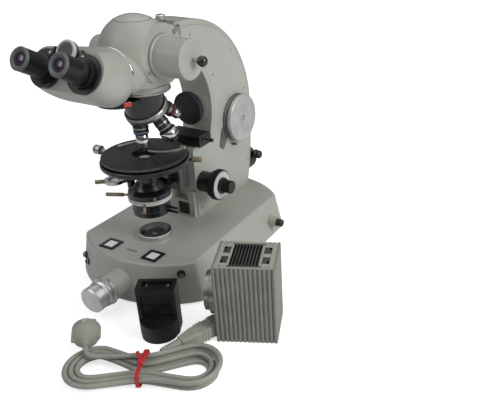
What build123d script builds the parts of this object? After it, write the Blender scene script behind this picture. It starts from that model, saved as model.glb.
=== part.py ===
from build123d import *
from math import cos, hypot, radians, sin, sqrt
import os

os.makedirs("parts", exist_ok=True)

# Frame: origin on the optical axis at the table surface, +Z up, front of the instrument towards -Y.
# Sizes are in millimetres.

# Fits
shaft_gap = 0.05
slide_gap = 0.3
seat_gap = 0.1

# Base
foot_height = 3.0
foot_radius = 11.0
base_top = 66.0
base_flare = 12.0
base_wall = 6.0
base_top_wall = 7.0
base_front = 85.0
base_rear = 249.0
base_half_front = 106.0
base_half_rear = 101.0
corner_front = 42.0
corner_rear = 208.0
corner_radius = 9.0
plate_thick = 3.0
screw_hole_radius = 4.2

# Field diaphragm on the base
field_ring_radius = 26.5
field_ring_height = 8.0
field_boss_radius = 22.0
field_lens_radius = 17.5

# Push buttons
button_x = 40.6
button_y = -56.0
frame_side = 26.0
frame_high = 2.0
button_side = 17.0
button_travel = 1.5

# Front control
front_axis_z = 32.0
front_tube_radius = 21.0
front_tube_end = -118.0
front_knob_radius = 19.5
front_knob_end = -150.0

# Side knob
side_knob_y = 175.0
side_knob_z = 30.0

# Arm
arm_half = 28.0
arm_radius = 165.0
arm_centre_y = 94.0
arm_centre_z = 219.0
arm_front = 79.0
ledge_z = 190.0
head_plane = 72.0
head_joint_low = 328.0
cover_inset = 8.0
cover_thick = 2.0
arm_wall = 8.0

# Focus drive
focus_y = 97.0
focus_z = 124.0
focus_tube_radius = 9.0
fine_shaft_radius = 4.0
bearing_radius = 17.0
bearing_length = 22.0
coarse_radius = 25.0
coarse_length = 16.0
fine_radius = 10.25
fine_length = 20.0
pinion_radius = 12.0

# Head
dome_y = 13.0
dome_z = 354.0
dome_radius = 51.0
dome_wall = 5.0
cap_z = 398.0
neck_radius = 38.0
neck_z = 308.5
boss_x = 38.0
boss_y = 24.0
boss_z = 350.0
boss_radius = 43.0
side_axis_y = 22.0
side_axis_z = 349.0
side_tube_radius = 28.0
side_tube_end = 86.0
left_port_radius = 21.0
left_port_end = 80.0
rod_radius = 3.0
rod_travel = 15.0

# Changer and nosepiece
changer_ring_radius = 40.0
changer_ring_low = 298.5
housing_radius = 31.0
housing_y = 14.0
wheel_x = -12.0
wheel_y = -22.0
wheel_radius = 31.0
wheel_low = 287.5
wheel_thick = 6.5

# Turret: the objectives meet at a point on the optical axis
pivot_z = 305.0
turret_tilt = 26.0
turret_places = 5
turret_ring_radius = 32.0
turret_ring_low = 36.0
turret_ring_high = 44.0
turret_ball = 54.0
seat_distance = 53.0
tip_distance = 96.0

# Binocular
eye_half = 31.5
eye_y = -154.0
eye_z = 378.0
eye_tilt = 30.0
eyepiece_radius = 15.0
eyepiece_length = 37.0
eye_lens_radius = 9.0
eye_shaft_radius = 11.5
carrier_radius = 25.0
carrier_thick = 4.0
collar_radius = 19.0
dial_radius = 15.5
slide_travel = 5.0
port_plane = -39.5
port_z = 334.0
port_radius = 36.0

# Stage
stage_top = 205.0
stage_radius = 63.0
stage_ring_radius = 65.5
stage_hub_radius = 45.0
stage_ring_low = 190.0
stage_ring_top = 198.0
stage_hole = 18.0
stage_down = 22.0
bracket_half = 14.3
clip_thick = 1.6
clip_wide = 4.8

# Condenser
condenser_low = 109.0
condenser_top = 199.0
lower_radius = 28.5
scale_radius = 33.0
scale_low = 131.0
scale_high = 138.0
flange_radius = 32.0
condenser_bore = 12.0

# Port on the arm
cap_radius = 27.0
cap_front = 111.0
port_axis_z = 240.0
barrel_radius = 17.0

# Selector disc
disc_y = 207.5
disc_z = 201.0
disc_radius = 40.5

# Rear clamp
rear_tube_radius = 24.0
rear_tube_z = 98.0
rear_tube_end = 274.0

# Lamp housing, standing in front on the right
lamp_x = 188.0
lamp_y = -113.5
lamp_turn = 23.0
lamp_wide = 85.0
lamp_deep = 72.0
lamp_high = 120.0
lamp_wall = 4.0
rib_radius = 2.6
rib_front = 14
rib_side = 12
grille_thick = 4.0
lamp_flange_radius = 33.0
lamp_flange_z = 62.0
lamp_bore = 20.0

# Lead of the lamp housing
coupler_start = (172.5, -102.5)
coupler_turn = (-0.37, -0.929)
coupler_body = 50.0
relief_length = 28.0
coupler_z = 12.0
hank_high = 22.0
hank_turn = 25.0
hank_reach = 64.0
hank_loop = 40.8
hank_waist = 28.0
hank_sag = 1.0
plug_radius = 19.0
plug_length = 36.0
plug_tail_radius = 4.6

# Film cassette, standing in front of the base
cassette_x = 84.0
cassette_y = -148.0
cassette_turn = 28.0
cassette_wide = 54.0
cassette_deep = 29.0
cassette_high = 75.0


def axis_plane(origin, along, across=(1, 0, 0)):
    """A plane whose local Y runs along an axis and whose local X is the radius."""
    return Plane(origin=origin, x_dir=across, z_dir=Vector(*across).cross(Vector(*along)))


def turn(plane, outline, mode=Mode.ADD):
    """Turn an outline of (radius, height) points about the plane's local Y."""
    with BuildSketch(plane) as profile:
        with BuildLine():
            Polyline(*outline, close=True)
        make_face()
    revolve(profile.sketch, axis=Axis(plane.origin, plane.y_dir), mode=mode)


def rod(start, end, radius, mode=Mode.ADD):
    """A straight round bar between two points."""
    along = Vector(*end) - Vector(*start)
    with BuildSketch(Plane(origin=start, z_dir=along)) as profile:
        Circle(radius)
    extrude(profile.sketch, amount=along.length, mode=mode)


def block(low, high, mode=Mode.ADD):
    """A rectangular block between two opposite corners."""
    centre = [(a + b) / 2 for a, b in zip(low, high)]
    size = [b - a for a, b in zip(low, high)]
    with Locations(tuple(centre)):
        Box(*size, mode=mode)


def lift(flat, height):
    """A flat vector's end, raised to a height."""
    return (flat.X, flat.Y, height)


upright = (0, 0, 1)
rightward = (1, 0, 0)
forward = (0, -1, 0)
depth_dir = (0, 1, 0)


# Base casting: a hollow shell, flared towards the table, with curved front and rear
def base_outline(height, grow):
    with BuildSketch(Plane.XY.offset(height)) as outline:
        with BuildLine():
            a = (-base_half_front - grow, -corner_front - 0.4 * grow)
            b = (base_half_front + grow, -corner_front - 0.4 * grow)
            c = (base_half_rear + grow, corner_rear + 0.4 * grow)
            d = (-base_half_rear - grow, corner_rear + 0.4 * grow)
            ThreePointArc(a, (0, -base_front - grow), b)
            Line(b, c)
            ThreePointArc(c, (0, base_rear + grow), d)
            Line(d, a)
        make_face()
        fillet(outline.vertices(), corner_radius)
    return outline.sketch


base_height = base_top - foot_height
cavity_top = base_top - base_top_wall
cavity_grow = base_flare * (base_top - cavity_top) / base_height - base_wall
post_spots = [(-84, -36), (84, -36), (-82, 196), (82, 196)]
pocket_side = button_side + 2 * slide_gap
pocket_floor = base_top - 5.0
side_boss_end = 122.0
side_boss_radius = 9.5
side_shaft_radius = 3.0
fitting_spots = [(92, -58.3, 51, 6.0), (-97, -59.5, 34, 5.5), (-85.5, -67.5, 29, 5.5)]
arc_centre_y = 70.0
fitting_depth = 6.0


def fitting_plane(x, y, z):
    """A plane on the front arc, looking outwards."""
    return Plane(origin=(x, y, z), x_dir=(-(y - arc_centre_y), x, 0), z_dir=(x, y - arc_centre_y, 0))


with BuildPart() as base_housing:
    loft([base_outline(foot_height, base_flare), base_outline(base_top, 0)])
    fillet(base_housing.faces().sort_by(Axis.Z)[-1].edges(), 4)
    loft([base_outline(foot_height - 0.5, base_flare - base_wall), base_outline(cavity_top, cavity_grow)],
         mode=Mode.SUBTRACT)
    # The boss under the field ring, with the seat of the lens
    turn(axis_plane((0, 0, 0), upright),
         [(15, 54), (field_boss_radius, 54), (field_boss_radius, base_top + 3), (15, base_top + 3)])
    turn(axis_plane((0, 0, 0), upright),
         [(0, 50), (15, 50), (15, base_top - 4), (field_lens_radius + seat_gap, base_top - 4),
          (field_lens_radius + seat_gap, base_top + 4), (0, base_top + 4)], Mode.SUBTRACT)
    # Posts for the bottom plate
    with BuildSketch(Plane.XY.offset(foot_height + plate_thick)):
        with Locations(*post_spots):
            Circle(7)
    extrude(amount=cavity_top - foot_height - plate_thick + 1)
    # Button pockets
    with BuildSketch(Plane.XY.offset(base_top)):
        with Locations((-button_x, button_y), (button_x, button_y)):
            Rectangle(pocket_side, pocket_side)
    extrude(amount=pocket_floor - base_top, mode=Mode.SUBTRACT)
    # Bore of the front tube
    rod((0, -base_front - 30, front_axis_z), (0, -70, front_axis_z), front_tube_radius + seat_gap,
        Mode.SUBTRACT)
    # Boss of the side knob
    rod((100, side_knob_y, side_knob_z), (side_boss_end, side_knob_y, side_knob_z), side_boss_radius)
    rod((95, side_knob_y, side_knob_z), (side_boss_end + 1, side_knob_y, side_knob_z),
        side_shaft_radius + shaft_gap, Mode.SUBTRACT)
    # Holes of the small fittings
    for x, y, z, radius in fitting_spots:
        with BuildSketch(fitting_plane(x, y, z).offset(-fitting_depth)):
            Circle(radius + seat_gap)
        extrude(amount=fitting_depth + 10, mode=Mode.SUBTRACT)
base_housing.part.label = "base_housing"
export_step(base_housing.part, "parts/base_housing.step")

# Bottom plate, let into the casting
plate_top = foot_height + plate_thick
plate_grow = base_flare * (base_top - plate_top) / base_height - base_wall - 0.5
with BuildPart() as base_plate:
    extrude(base_outline(foot_height, plate_grow), amount=plate_thick)
    # Air slots, and the hole for the transport screw
    with Locations((0, 120, foot_height)):
        with GridLocations(1, 18, 1, 5):
            Box(60, 5, 3 * plate_thick, mode=Mode.SUBTRACT)
    rod((0, 0, foot_height - 1), (0, 0, plate_top + 1), screw_hole_radius, Mode.SUBTRACT)
base_plate.part.label = "base_plate"
export_step(base_plate.part, "parts/base_plate.step")

# Four feet under the posts, and a ring-shaped pad round the hole of the transport screw
with BuildPart() as rubber_feet:
    with Locations(*post_spots):
        Cylinder(foot_radius, foot_height, align=(Align.CENTER, Align.CENTER, Align.MIN))
    fillet(rubber_feet.faces().filter_by(Plane.XY).group_by(Axis.Z)[0].edges(), 1)
    with BuildSketch():
        Circle(foot_radius + 1)
        Circle(screw_hole_radius + 1.3, mode=Mode.SUBTRACT)
    extrude(amount=foot_height)
rubber_feet.part.label = "rubber_feet"
export_step(rubber_feet.part, "parts/rubber_feet.step")

# Mirror block under the field lens: it turns the beam from the rear upwards
mirror_half = 20.0
mirror_reach = 22.0
mirror_top = 50.0
with BuildPart() as base_mirror:
    with BuildSketch(Plane.YZ.offset(-mirror_half)):
        with BuildLine():
            Polyline((-mirror_reach, plate_top), (mirror_reach, plate_top), (-mirror_reach, mirror_top),
                     close=True)
        make_face()
    extrude(amount=2 * mirror_half)
base_mirror.part.label = "base_mirror"
export_step(base_mirror.part, "parts/base_mirror.step")

# Field ring: it turns about the boss and opens the field diaphragm
with BuildPart() as field_ring:
    ring_low = base_top + 0.3
    ring_high = base_top + field_ring_height
    turn(axis_plane((0, 0, 0), upright),
         [(field_boss_radius + seat_gap, ring_low), (field_ring_radius, ring_low),
          (field_ring_radius, ring_high - 1), (field_ring_radius - 1, ring_high),
          (field_ring_radius - 3, ring_high), (15, base_top + 5), (15, base_top + 3.3),
          (field_boss_radius + seat_gap, base_top + 3.3)])
field_ring.part.label = "field_ring"
export_step(field_ring.part, "parts/field_ring.step")

# Field lens in its seat
with BuildPart() as field_lens:
    turn(axis_plane((0, 0, 0), upright),
         [(0, base_top - 4), (field_lens_radius, base_top - 4), (field_lens_radius, base_top - 1),
          (10, base_top + 1), (0, base_top + 1.6)])
field_lens.part.label = "field_lens"
export_step(field_lens.part, "parts/field_lens.step")

# Push buttons
button_low = pocket_floor + button_travel + 0.1
button_high = base_top + 1.2
for name, side in (("left_button", -1), ("right_button", 1)):
    with BuildPart() as push_button:
        block((side * button_x - button_side / 2, button_y - button_side / 2, button_low),
              (side * button_x + button_side / 2, button_y + button_side / 2, button_high))
        fillet(push_button.faces().sort_by(Axis.Z)[-1].edges(), 0.8)
    push_button.part.label = name
    export_step(push_button.part, f"parts/{name}.step")

# Front tube, let into the front wall
front_shaft_radius = 5.0
front_line = axis_plane((0, 0, front_axis_z), forward)
with BuildPart() as front_tube:
    bore = front_shaft_radius + shaft_gap
    turn(front_line, [(bore, 76), (front_tube_radius, 76), (front_tube_radius, -front_tube_end - 1),
                      (front_tube_radius - 1, -front_tube_end), (bore, -front_tube_end)])
front_tube.part.label = "front_tube"
export_step(front_tube.part, "parts/front_tube.step")

# Front knob: a chrome ring, a groove and a scaled drum with a bare end disc
with BuildPart() as front_knob:
    start = -front_tube_end + 0.3
    end = -front_knob_end
    turn(front_line, [(0, 80), (front_shaft_radius, 80), (front_shaft_radius, start),
                      (front_knob_radius + 2.5, start), (front_knob_radius + 3, start + 1),
                      (front_knob_radius + 3, start + 4), (front_knob_radius + 1, start + 5),
                      (front_knob_radius - 2, start + 6), (front_knob_radius - 2, start + 8),
                      (front_knob_radius + 1, start + 9), (front_knob_radius + 1.5, start + 11),
                      (front_knob_radius, start + 13), (front_knob_radius, end - 1.5),
                      (front_knob_radius - 1.5, end), (0, end)])
front_knob.part.label = "front_knob"
export_step(front_knob.part, "parts/front_knob.step")

# Small fittings: the frames of the push buttons, and a locking screw and two sockets on the front arc
with BuildPart() as base_fittings:
    with BuildSketch(Plane.XY.offset(base_top)):
        with Locations((-button_x, button_y), (button_x, button_y)):
            Rectangle(frame_side, frame_side)
            Rectangle(pocket_side, pocket_side, mode=Mode.SUBTRACT)
    extrude(amount=frame_high)
    for x, y, z, radius in fitting_spots:
        with BuildSketch(fitting_plane(x, y, z).offset(-fitting_depth)):
            Circle(radius)
        extrude(amount=fitting_depth + 2)
        with BuildSketch(fitting_plane(x, y, z).offset(1.9)):
            Circle(radius - 2)
        extrude(amount=2.6)
base_fittings.part.label = "base_fittings"
export_step(base_fittings.part, "parts/base_fittings.step")

# Knob on the right side
with BuildPart() as side_knob:
    start = side_boss_end + 0.3
    turn(axis_plane((0, side_knob_y, side_knob_z), rightward, depth_dir),
         [(0, side_boss_end - 16), (side_shaft_radius, side_boss_end - 16), (side_shaft_radius, start),
          (6, start), (7, start + 1.5), (6.5, start + 10), (5, start + 11.5), (0, start + 11.5)])
side_knob.part.label = "side_knob"
export_step(side_knob.part, "parts/side_knob.step")


# Arm casting: the side outline in Y and Z
def arm_outline(plane, inset=0.0, lowest=0.0):
    """The outline of the arm, seen from the right, moved inwards by the inset and cut off below a height."""
    tip_z = arm_centre_z + sqrt(arm_radius ** 2 - (arm_centre_y - head_plane) ** 2)
    back = (arm_centre_y + arm_radius * cos(radians(-2)), arm_centre_z + arm_radius * sin(radians(-2)))
    over = (arm_centre_y + arm_radius * cos(radians(48)), arm_centre_z + arm_radius * sin(radians(48)))
    with BuildSketch(plane) as outline:
        with BuildLine():
            ThreePointArc((head_plane, tip_z), over, back)
            Line(back, (255.5, 150))
            ThreePointArc((255.5, 150), (249, 107), (238, base_top))
            Line((238, base_top), (arm_front, base_top))
            Line((arm_front, base_top), (arm_front, 178))
            ThreePointArc((arm_front, 178), (82.5, 186.5), (91, ledge_z))
            Line((91, ledge_z), (116, ledge_z))
            ThreePointArc((116, ledge_z), (127, 195), (132, 205))
            ThreePointArc((132, 205), (139, 250), (124, 299))
            ThreePointArc((124, 299), (103, 320), (head_plane, head_joint_low))
            Line((head_plane, head_joint_low), (head_plane, tip_z))
        make_face()
        if inset:
            offset(amount=-inset, kind=Kind.INTERSECTION)
        if lowest:
            with Locations((arm_centre_y, lowest / 2)):
                Rectangle(4 * arm_radius, lowest, mode=Mode.SUBTRACT)
    return outline.sketch


recess_x = arm_half - cover_thick
tongue_back = focus_y - pinion_radius - 0.5
channel_half = bracket_half + slide_gap
channel_low = 96.0
port_barrel_back = 150.0
rear_tube_start = 232.0
with BuildPart() as arm_casting:
    extrude(arm_outline(Plane.YZ.offset(-arm_half)), amount=2 * arm_half)
    outer_edges = arm_casting.edges().filter_by(
        lambda e: e.geom_type == GeomType.CIRCLE and abs(e.radius - arm_radius) < 0.1)
    fillet(outer_edges, 5)
    for side in (-1, 1):
        extrude(arm_outline(Plane.YZ.offset(side * recess_x), cover_inset), amount=side * (cover_thick + 1),
                mode=Mode.SUBTRACT)
    # Space inside the upper arm, closed by the right cover
    inner = arm_outline(Plane.YZ.offset(recess_x), cover_inset + arm_wall, 180)
    extrude(inner, amount=-(recess_x + arm_half - arm_wall), mode=Mode.SUBTRACT)
    # Channel of the stage bracket, with room for the pinion
    block((-channel_half, arm_front - 1, channel_low), (channel_half, tongue_back + 0.5, 196), Mode.SUBTRACT)
    rod((-channel_half, focus_y, focus_z), (channel_half, focus_y, focus_z), pinion_radius + 1.5,
        Mode.SUBTRACT)
    # Bore of the focus tube
    rod((-arm_half - 1, focus_y, focus_z), (arm_half + 1, focus_y, focus_z), focus_tube_radius + shaft_gap,
        Mode.SUBTRACT)
    # Bores of the port barrel and of the rear tube
    rod((0, 100, port_axis_z), (0, port_barrel_back, port_axis_z), barrel_radius + seat_gap, Mode.SUBTRACT)
    rod((0, rear_tube_start, rear_tube_z), (0, 290, rear_tube_z), rear_tube_radius + seat_gap, Mode.SUBTRACT)
arm_casting.part.label = "arm_casting"
export_step(arm_casting.part, "parts/arm_casting.step")

# Side covers, let in flush
with BuildPart() as side_covers:
    for side in (-1, 1):
        extrude(arm_outline(Plane.YZ.offset(side * recess_x), cover_inset + 0.35), amount=side * cover_thick)
    rod((-arm_half - 1, focus_y, focus_z), (arm_half + 1, focus_y, focus_z), focus_tube_radius + seat_gap,
        Mode.SUBTRACT)
side_covers.part.label = "side_covers"
export_step(side_covers.part, "parts/side_covers.step")

# Guide on the front of the arm, in which the stage bracket slides
guide_half = 26.0
guide_front = 71.0
guide_top = 112.0
with BuildPart() as guide_block:
    block((-guide_half, guide_front, base_top), (guide_half, arm_front, guide_top))
    block((-channel_half, guide_front - 1, channel_low), (channel_half, arm_front + 1, guide_top + 1),
          Mode.SUBTRACT)
    block((-6, guide_front - 1, base_top + 4), (16, guide_front + 5, channel_low - 4), Mode.SUBTRACT)
    with Locations(Plane.XZ.offset(-guide_front)):
        with GridLocations(2 * guide_half - 9, 34, 2, 2):
            with Locations((0, 89)):
                Cylinder(2.2, 3, mode=Mode.SUBTRACT)
guide_block.part.label = "guide_block"
export_step(guide_block.part, "parts/guide_block.step")

# Barrels that carry the focus tube on both sides
with BuildPart() as focus_bearings:
    for side in (-1, 1):
        turn(axis_plane((0, focus_y, focus_z), (side, 0, 0), depth_dir),
             [(focus_tube_radius + shaft_gap, arm_half), (bearing_radius, arm_half),
              (bearing_radius, arm_half + bearing_length - 2),
              (bearing_radius - 2, arm_half + bearing_length),
              (focus_tube_radius + shaft_gap, arm_half + bearing_length)])
focus_bearings.part.label = "focus_bearings"
export_step(focus_bearings.part, "parts/focus_bearings.step")


# Coarse drive: the tube with its pinion, and a knurled knob at each end
def toothed(plane, radius, depth, count, thickness):
    """A wheel with plain teeth, cut by round gullets."""
    with BuildSketch(plane) as profile:
        Circle(radius)
        with PolarLocations(radius, count):
            Circle(depth, mode=Mode.SUBTRACT)
    extrude(profile.sketch, amount=thickness)


coarse_start = arm_half + bearing_length + 0.3
coarse_end = coarse_start + coarse_length
with BuildPart() as coarse_focus:
    rod((-coarse_start, focus_y, focus_z), (coarse_start, focus_y, focus_z), focus_tube_radius)
    toothed(Plane.YZ.offset(-8).shift_origin((-8, focus_y, focus_z)), pinion_radius, 1.2, 20, 16)
    for side in (-1, 1):
        turn(axis_plane((0, focus_y, focus_z), (side, 0, 0), depth_dir),
             [(0, coarse_start), (22, coarse_start), (22, coarse_start + 4),
              (coarse_radius - 0.5, coarse_start + 5), (coarse_radius, coarse_start + 6),
              (coarse_radius, coarse_end - 1), (coarse_radius - 1, coarse_end), (0, coarse_end)])
    rod((-coarse_end - 1, focus_y, focus_z), (coarse_end + 1, focus_y, focus_z),
        fine_shaft_radius + shaft_gap, Mode.SUBTRACT)
coarse_focus.part.label = "coarse_focus"
export_step(coarse_focus.part, "parts/coarse_focus.step")

# Fine drive: a shaft through the coarse tube, with a small knob at each end
fine_start = coarse_end + 0.3
with BuildPart() as fine_focus:
    rod((-fine_start, focus_y, focus_z), (fine_start, focus_y, focus_z), fine_shaft_radius)
    for side in (-1, 1):
        turn(axis_plane((0, focus_y, focus_z), (side, 0, 0), depth_dir),
             [(0, fine_start), (13, fine_start), (13, fine_start + 4), (fine_radius, fine_start + 5),
              (fine_radius, fine_start + fine_length - 1.5), (fine_radius - 1.5, fine_start + fine_length),
              (0, fine_start + fine_length)])
fine_focus.part.label = "fine_focus"
export_step(fine_focus.part, "parts/fine_focus.step")

# Port barrel in the inner face of the arm, and its cap
with BuildPart() as port_barrel:
    turn(axis_plane((0, 0, port_axis_z), depth_dir),
         [(12, cap_front + 8), (20, cap_front + 8), (20, cap_front + 14), (barrel_radius, cap_front + 16),
          (barrel_radius, port_barrel_back), (12, port_barrel_back)])
port_barrel.part.label = "port_barrel"
export_step(port_barrel.part, "parts/port_barrel.step")

with BuildPart() as port_cap:
    turn(axis_plane((0, 0, port_axis_z), depth_dir),
         [(0, cap_front + 1), (cap_radius - 4, cap_front + 1), (cap_radius - 3, cap_front),
          (cap_radius - 1, cap_front), (cap_radius, cap_front + 1.5), (cap_radius, cap_front + 7.7),
          (11.7, cap_front + 7.7), (11.7, cap_front + 13), (0, cap_front + 13)])
port_cap.part.label = "port_cap"
export_step(port_cap.part, "parts/port_cap.step")

# Filter slide in its housing on the ledge of the arm
slot_low = ledge_z + 5.0
slot_high = ledge_z + 14.0
with BuildPart() as slider_housing:
    block((-24, arm_front + 4, ledge_z), (40, 114, ledge_z + 18))
    chamfer(slider_housing.faces().sort_by(Axis.Z)[-1].edges(), 1.5)
    block((-25, 90, slot_low), (41, 108, slot_high), Mode.SUBTRACT)
    block((-channel_half, 60, ledge_z - 5), (channel_half, tongue_back + 0.5, 196), Mode.SUBTRACT)
slider_housing.part.label = "slider_housing"
export_step(slider_housing.part, "parts/slider_housing.step")

with BuildPart() as filter_slider:
    block((-20, 90 + slide_gap, slot_low + slide_gap), (40.5, 108 - slide_gap, slot_high - slide_gap))
    with Locations((-8, 99, slot_low)):
        Cylinder(7, 30, mode=Mode.SUBTRACT)
    rod((40, 99, (slot_low + slot_high) / 2), (50, 99, (slot_low + slot_high) / 2), 1.5)
    rod((50, 99, (slot_low + slot_high) / 2), (54, 99, (slot_low + slot_high) / 2), 3)
filter_slider.part.label = "filter_slider"
export_step(filter_slider.part, "parts/filter_slider.step")

# Ring stack of the selector, with the lever plate beside it
drum_end = arm_half + 9.0
with BuildPart() as selector_drum:
    turn(axis_plane((0, disc_y, disc_z), rightward, depth_dir),
         [(6 + shaft_gap, arm_half), (disc_radius + 0.5, arm_half), (disc_radius + 0.5, arm_half + 3.5),
          (disc_radius - 1.5, arm_half + 4.5), (disc_radius - 1.5, drum_end), (6 + shaft_gap, drum_end)])
    with BuildSketch(Plane.YZ.offset(arm_half)):
        with BuildLine():
            Polyline((168, 199), (160, 190), (153, 164), (162, 157), (178, 178), (174, 196), close=True)
        make_face()
        with Locations((disc_y, disc_z)):
            Circle(disc_radius + 1, mode=Mode.SUBTRACT)
    extrude(amount=2)
    rod((arm_half, 190.5, 157), (arm_half + 9, 190.5, 157), 2.2)
selector_drum.part.label = "selector_drum"
export_step(selector_drum.part, "parts/selector_drum.step")

# Selector disc
disc_start = drum_end + 0.3
with BuildPart() as selector_disc:
    turn(axis_plane((0, disc_y, disc_z), rightward, depth_dir),
         [(0, arm_half + 1), (6, arm_half + 1), (6, disc_start), (disc_radius, disc_start),
          (disc_radius, disc_start + 5.5), (disc_radius - 1, disc_start + 6.5), (0, disc_start + 6.5)])
    with Locations((disc_start + 6.5, disc_y, disc_z)):
        Box(2, 3, 9, mode=Mode.SUBTRACT)
selector_disc.part.label = "selector_disc"
export_step(selector_disc.part, "parts/selector_disc.step")

# Tube at the back that takes the lamp housing, and its clamp knob
rear_knob_y = 264.0
rear_knob_z = 110.0
rear_pad_x = 26.0
with BuildPart() as rear_mount:
    turn(axis_plane((0, 0, rear_tube_z), depth_dir),
         [(18, rear_tube_start), (rear_tube_radius, rear_tube_start), (rear_tube_radius, rear_tube_end),
          (18, rear_tube_end)])
    rod((19.5, rear_knob_y, rear_knob_z), (rear_pad_x, rear_knob_y, rear_knob_z), 6)
    rod((10, rear_knob_y, rear_knob_z), (rear_pad_x + 1, rear_knob_y, rear_knob_z), 2.5 + shaft_gap,
        Mode.SUBTRACT)
rear_mount.part.label = "rear_mount"
export_step(rear_mount.part, "parts/rear_mount.step")

with BuildPart() as rear_knob:
    start = rear_pad_x + 0.3
    turn(axis_plane((0, rear_knob_y, rear_knob_z), rightward, depth_dir),
         [(0, start - 8), (2.5, start - 8), (2.5, start), (6, start), (8.5, start + 1), (8.5, start + 5),
          (7.5, start + 6), (7.5, start + 12), (6, start + 13.5), (0, start + 13.5)])
rear_knob.part.label = "rear_knob"
export_step(rear_knob.part, "parts/rear_knob.step")

# Head: a round hollow housing with side bosses, a neck and the block that meets the arm
arm_tip_z = arm_centre_z + sqrt(arm_radius ** 2 - (arm_centre_y - head_plane) ** 2)
dome_plane = axis_plane((0, dome_y, 0), upright)


def dome(radius):
    """The upper round form of the head."""
    with Locations((0, dome_y, dome_z)):
        Sphere(radius)


def flatten(half):
    """Cut both sides of the round form off at a distance from the middle."""
    for side in (-1, 1):
        with Locations((side * (half + dome_radius), dome_y, dome_z)):
            Box(2 * dome_radius, 3 * dome_radius, 3 * dome_radius, mode=Mode.SUBTRACT)


with BuildPart() as head_cavity:
    dome(dome_radius - dome_wall)
    flatten(boss_x - dome_wall)

with BuildPart() as head_housing:
    dome(dome_radius)
    turn(dome_plane, [(0, neck_z), (neck_radius, neck_z), (neck_radius + 1, 319), (neck_radius + 4, 321),
                      (neck_radius + 8, 335), (0, 335)])
    rod((-boss_x - 5, boss_y, boss_z), (boss_x + 5, boss_y, boss_z), boss_radius)
    flatten(boss_x)
    block((-arm_half, dome_y + 20, head_joint_low), (arm_half, head_plane, arm_tip_z))
    fillet(head_housing.edges().filter_by(Axis.Y).group_by(Axis.Z)[-1], 5)
    rod((0, port_plane, port_z), (0, dome_y, port_z), port_radius - 1)
    rod((-boss_x, side_axis_y, side_axis_z - 2), (-left_port_end, side_axis_y, side_axis_z - 2),
        left_port_radius)
    fillet(head_housing.faces().sort_by(Axis.X)[0].edges(), 4)
    block((-80, -60, neck_z - 60), (80, 90, neck_z), Mode.SUBTRACT)
    block((-80, -60, cap_z), (80, dome_y + 46, cap_z + 30), Mode.SUBTRACT)
    add(head_cavity.part, mode=Mode.SUBTRACT)
    rod((0, port_plane - 1, port_z), (0, dome_y, port_z), 22, Mode.SUBTRACT)
    rod((0, side_axis_y, side_axis_z), (boss_x + 1, side_axis_y, side_axis_z), 14, Mode.SUBTRACT)
    rod((0, 0, neck_z - 1), (0, 0, dome_z - 20), 10, Mode.SUBTRACT)
head_housing.part.label = "head_housing"
export_step(head_housing.part, "parts/head_housing.step")

# Top cap of the head
with BuildPart() as head_cap:
    dome(dome_radius)
    block((-80, -80, dome_z - 80), (80, 100, cap_z), Mode.SUBTRACT)
head_cap.part.label = "head_cap"
export_step(head_cap.part, "parts/head_cap.step")

# Side cylinder with a domed end
with BuildPart() as side_cylinder:
    turn(axis_plane((0, side_axis_y, side_axis_z), rightward, depth_dir),
         [(24, boss_x), (side_tube_radius + 2.5, boss_x), (side_tube_radius + 2.5, boss_x + 3.5),
          (side_tube_radius, boss_x + 4.5), (side_tube_radius, side_tube_end),
          (side_tube_radius - 1, side_tube_end + 1),
          (side_tube_radius * 0.7, side_tube_end + 3), (side_tube_radius * 0.35, side_tube_end + 4.2),
          (rod_radius + shaft_gap, side_tube_end + 4.5), (rod_radius + shaft_gap, side_tube_end - 5),
          (24, side_tube_end - 5)])
side_cylinder.part.label = "side_cylinder"
export_step(side_cylinder.part, "parts/side_cylinder.step")

# Pull rod with its ball, carrying the prism carriage
ball_x = 104.5
with BuildPart() as beam_rod:
    rod((0, side_axis_y, side_axis_z), (ball_x, side_axis_y, side_axis_z), rod_radius)
    with Locations((ball_x, side_axis_y, side_axis_z)):
        Sphere(7.5)
    with Locations((0, side_axis_y - 4, side_axis_z)):
        Box(18, 18, 18)
beam_rod.part.label = "beam_rod"
export_step(beam_rod.part, "parts/beam_rod.step")

# Clamp band round the joint of head and arm, and its screw
band_front = head_plane - 4
band_back = head_plane + 4
band_low = 352.0
band_thick = 2.0
band_top = arm_centre_z + sqrt(arm_radius ** 2 - (arm_centre_y - band_back) ** 2) + seat_gap
with BuildPart() as clamp_band:
    with BuildSketch(Plane.XZ.offset(-band_front)):
        with Locations((0, (band_low + band_top + band_thick) / 2)):
            RectangleRounded(2 * (arm_half + seat_gap + band_thick), band_top + band_thick - band_low, 6)
        with Locations((0, (band_low + band_top) / 2 - 10)):
            RectangleRounded(2 * (arm_half + seat_gap), band_top - band_low + 20, 4.5, mode=Mode.SUBTRACT)
    extrude(amount=band_front - band_back)
    block((-6, band_front, band_top), (6, band_back, band_top + 4))
    rod((0, head_plane, band_top), (0, head_plane, band_top + 6), 2.5 + shaft_gap, Mode.SUBTRACT)
clamp_band.part.label = "clamp_band"
export_step(clamp_band.part, "parts/clamp_band.step")

with BuildPart() as clamp_screw:
    start = band_top + 4.3
    turn(axis_plane((0, head_plane, 0), upright),
         [(0, band_top + 0.5), (2.5, band_top + 0.5), (2.5, start), (6.5, start), (7, start + 1),
          (7, start + 5), (5.5, start + 6.5), (0, start + 6.5)])
clamp_screw.part.label = "clamp_screw"
export_step(clamp_screw.part, "parts/clamp_screw.step")

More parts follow.
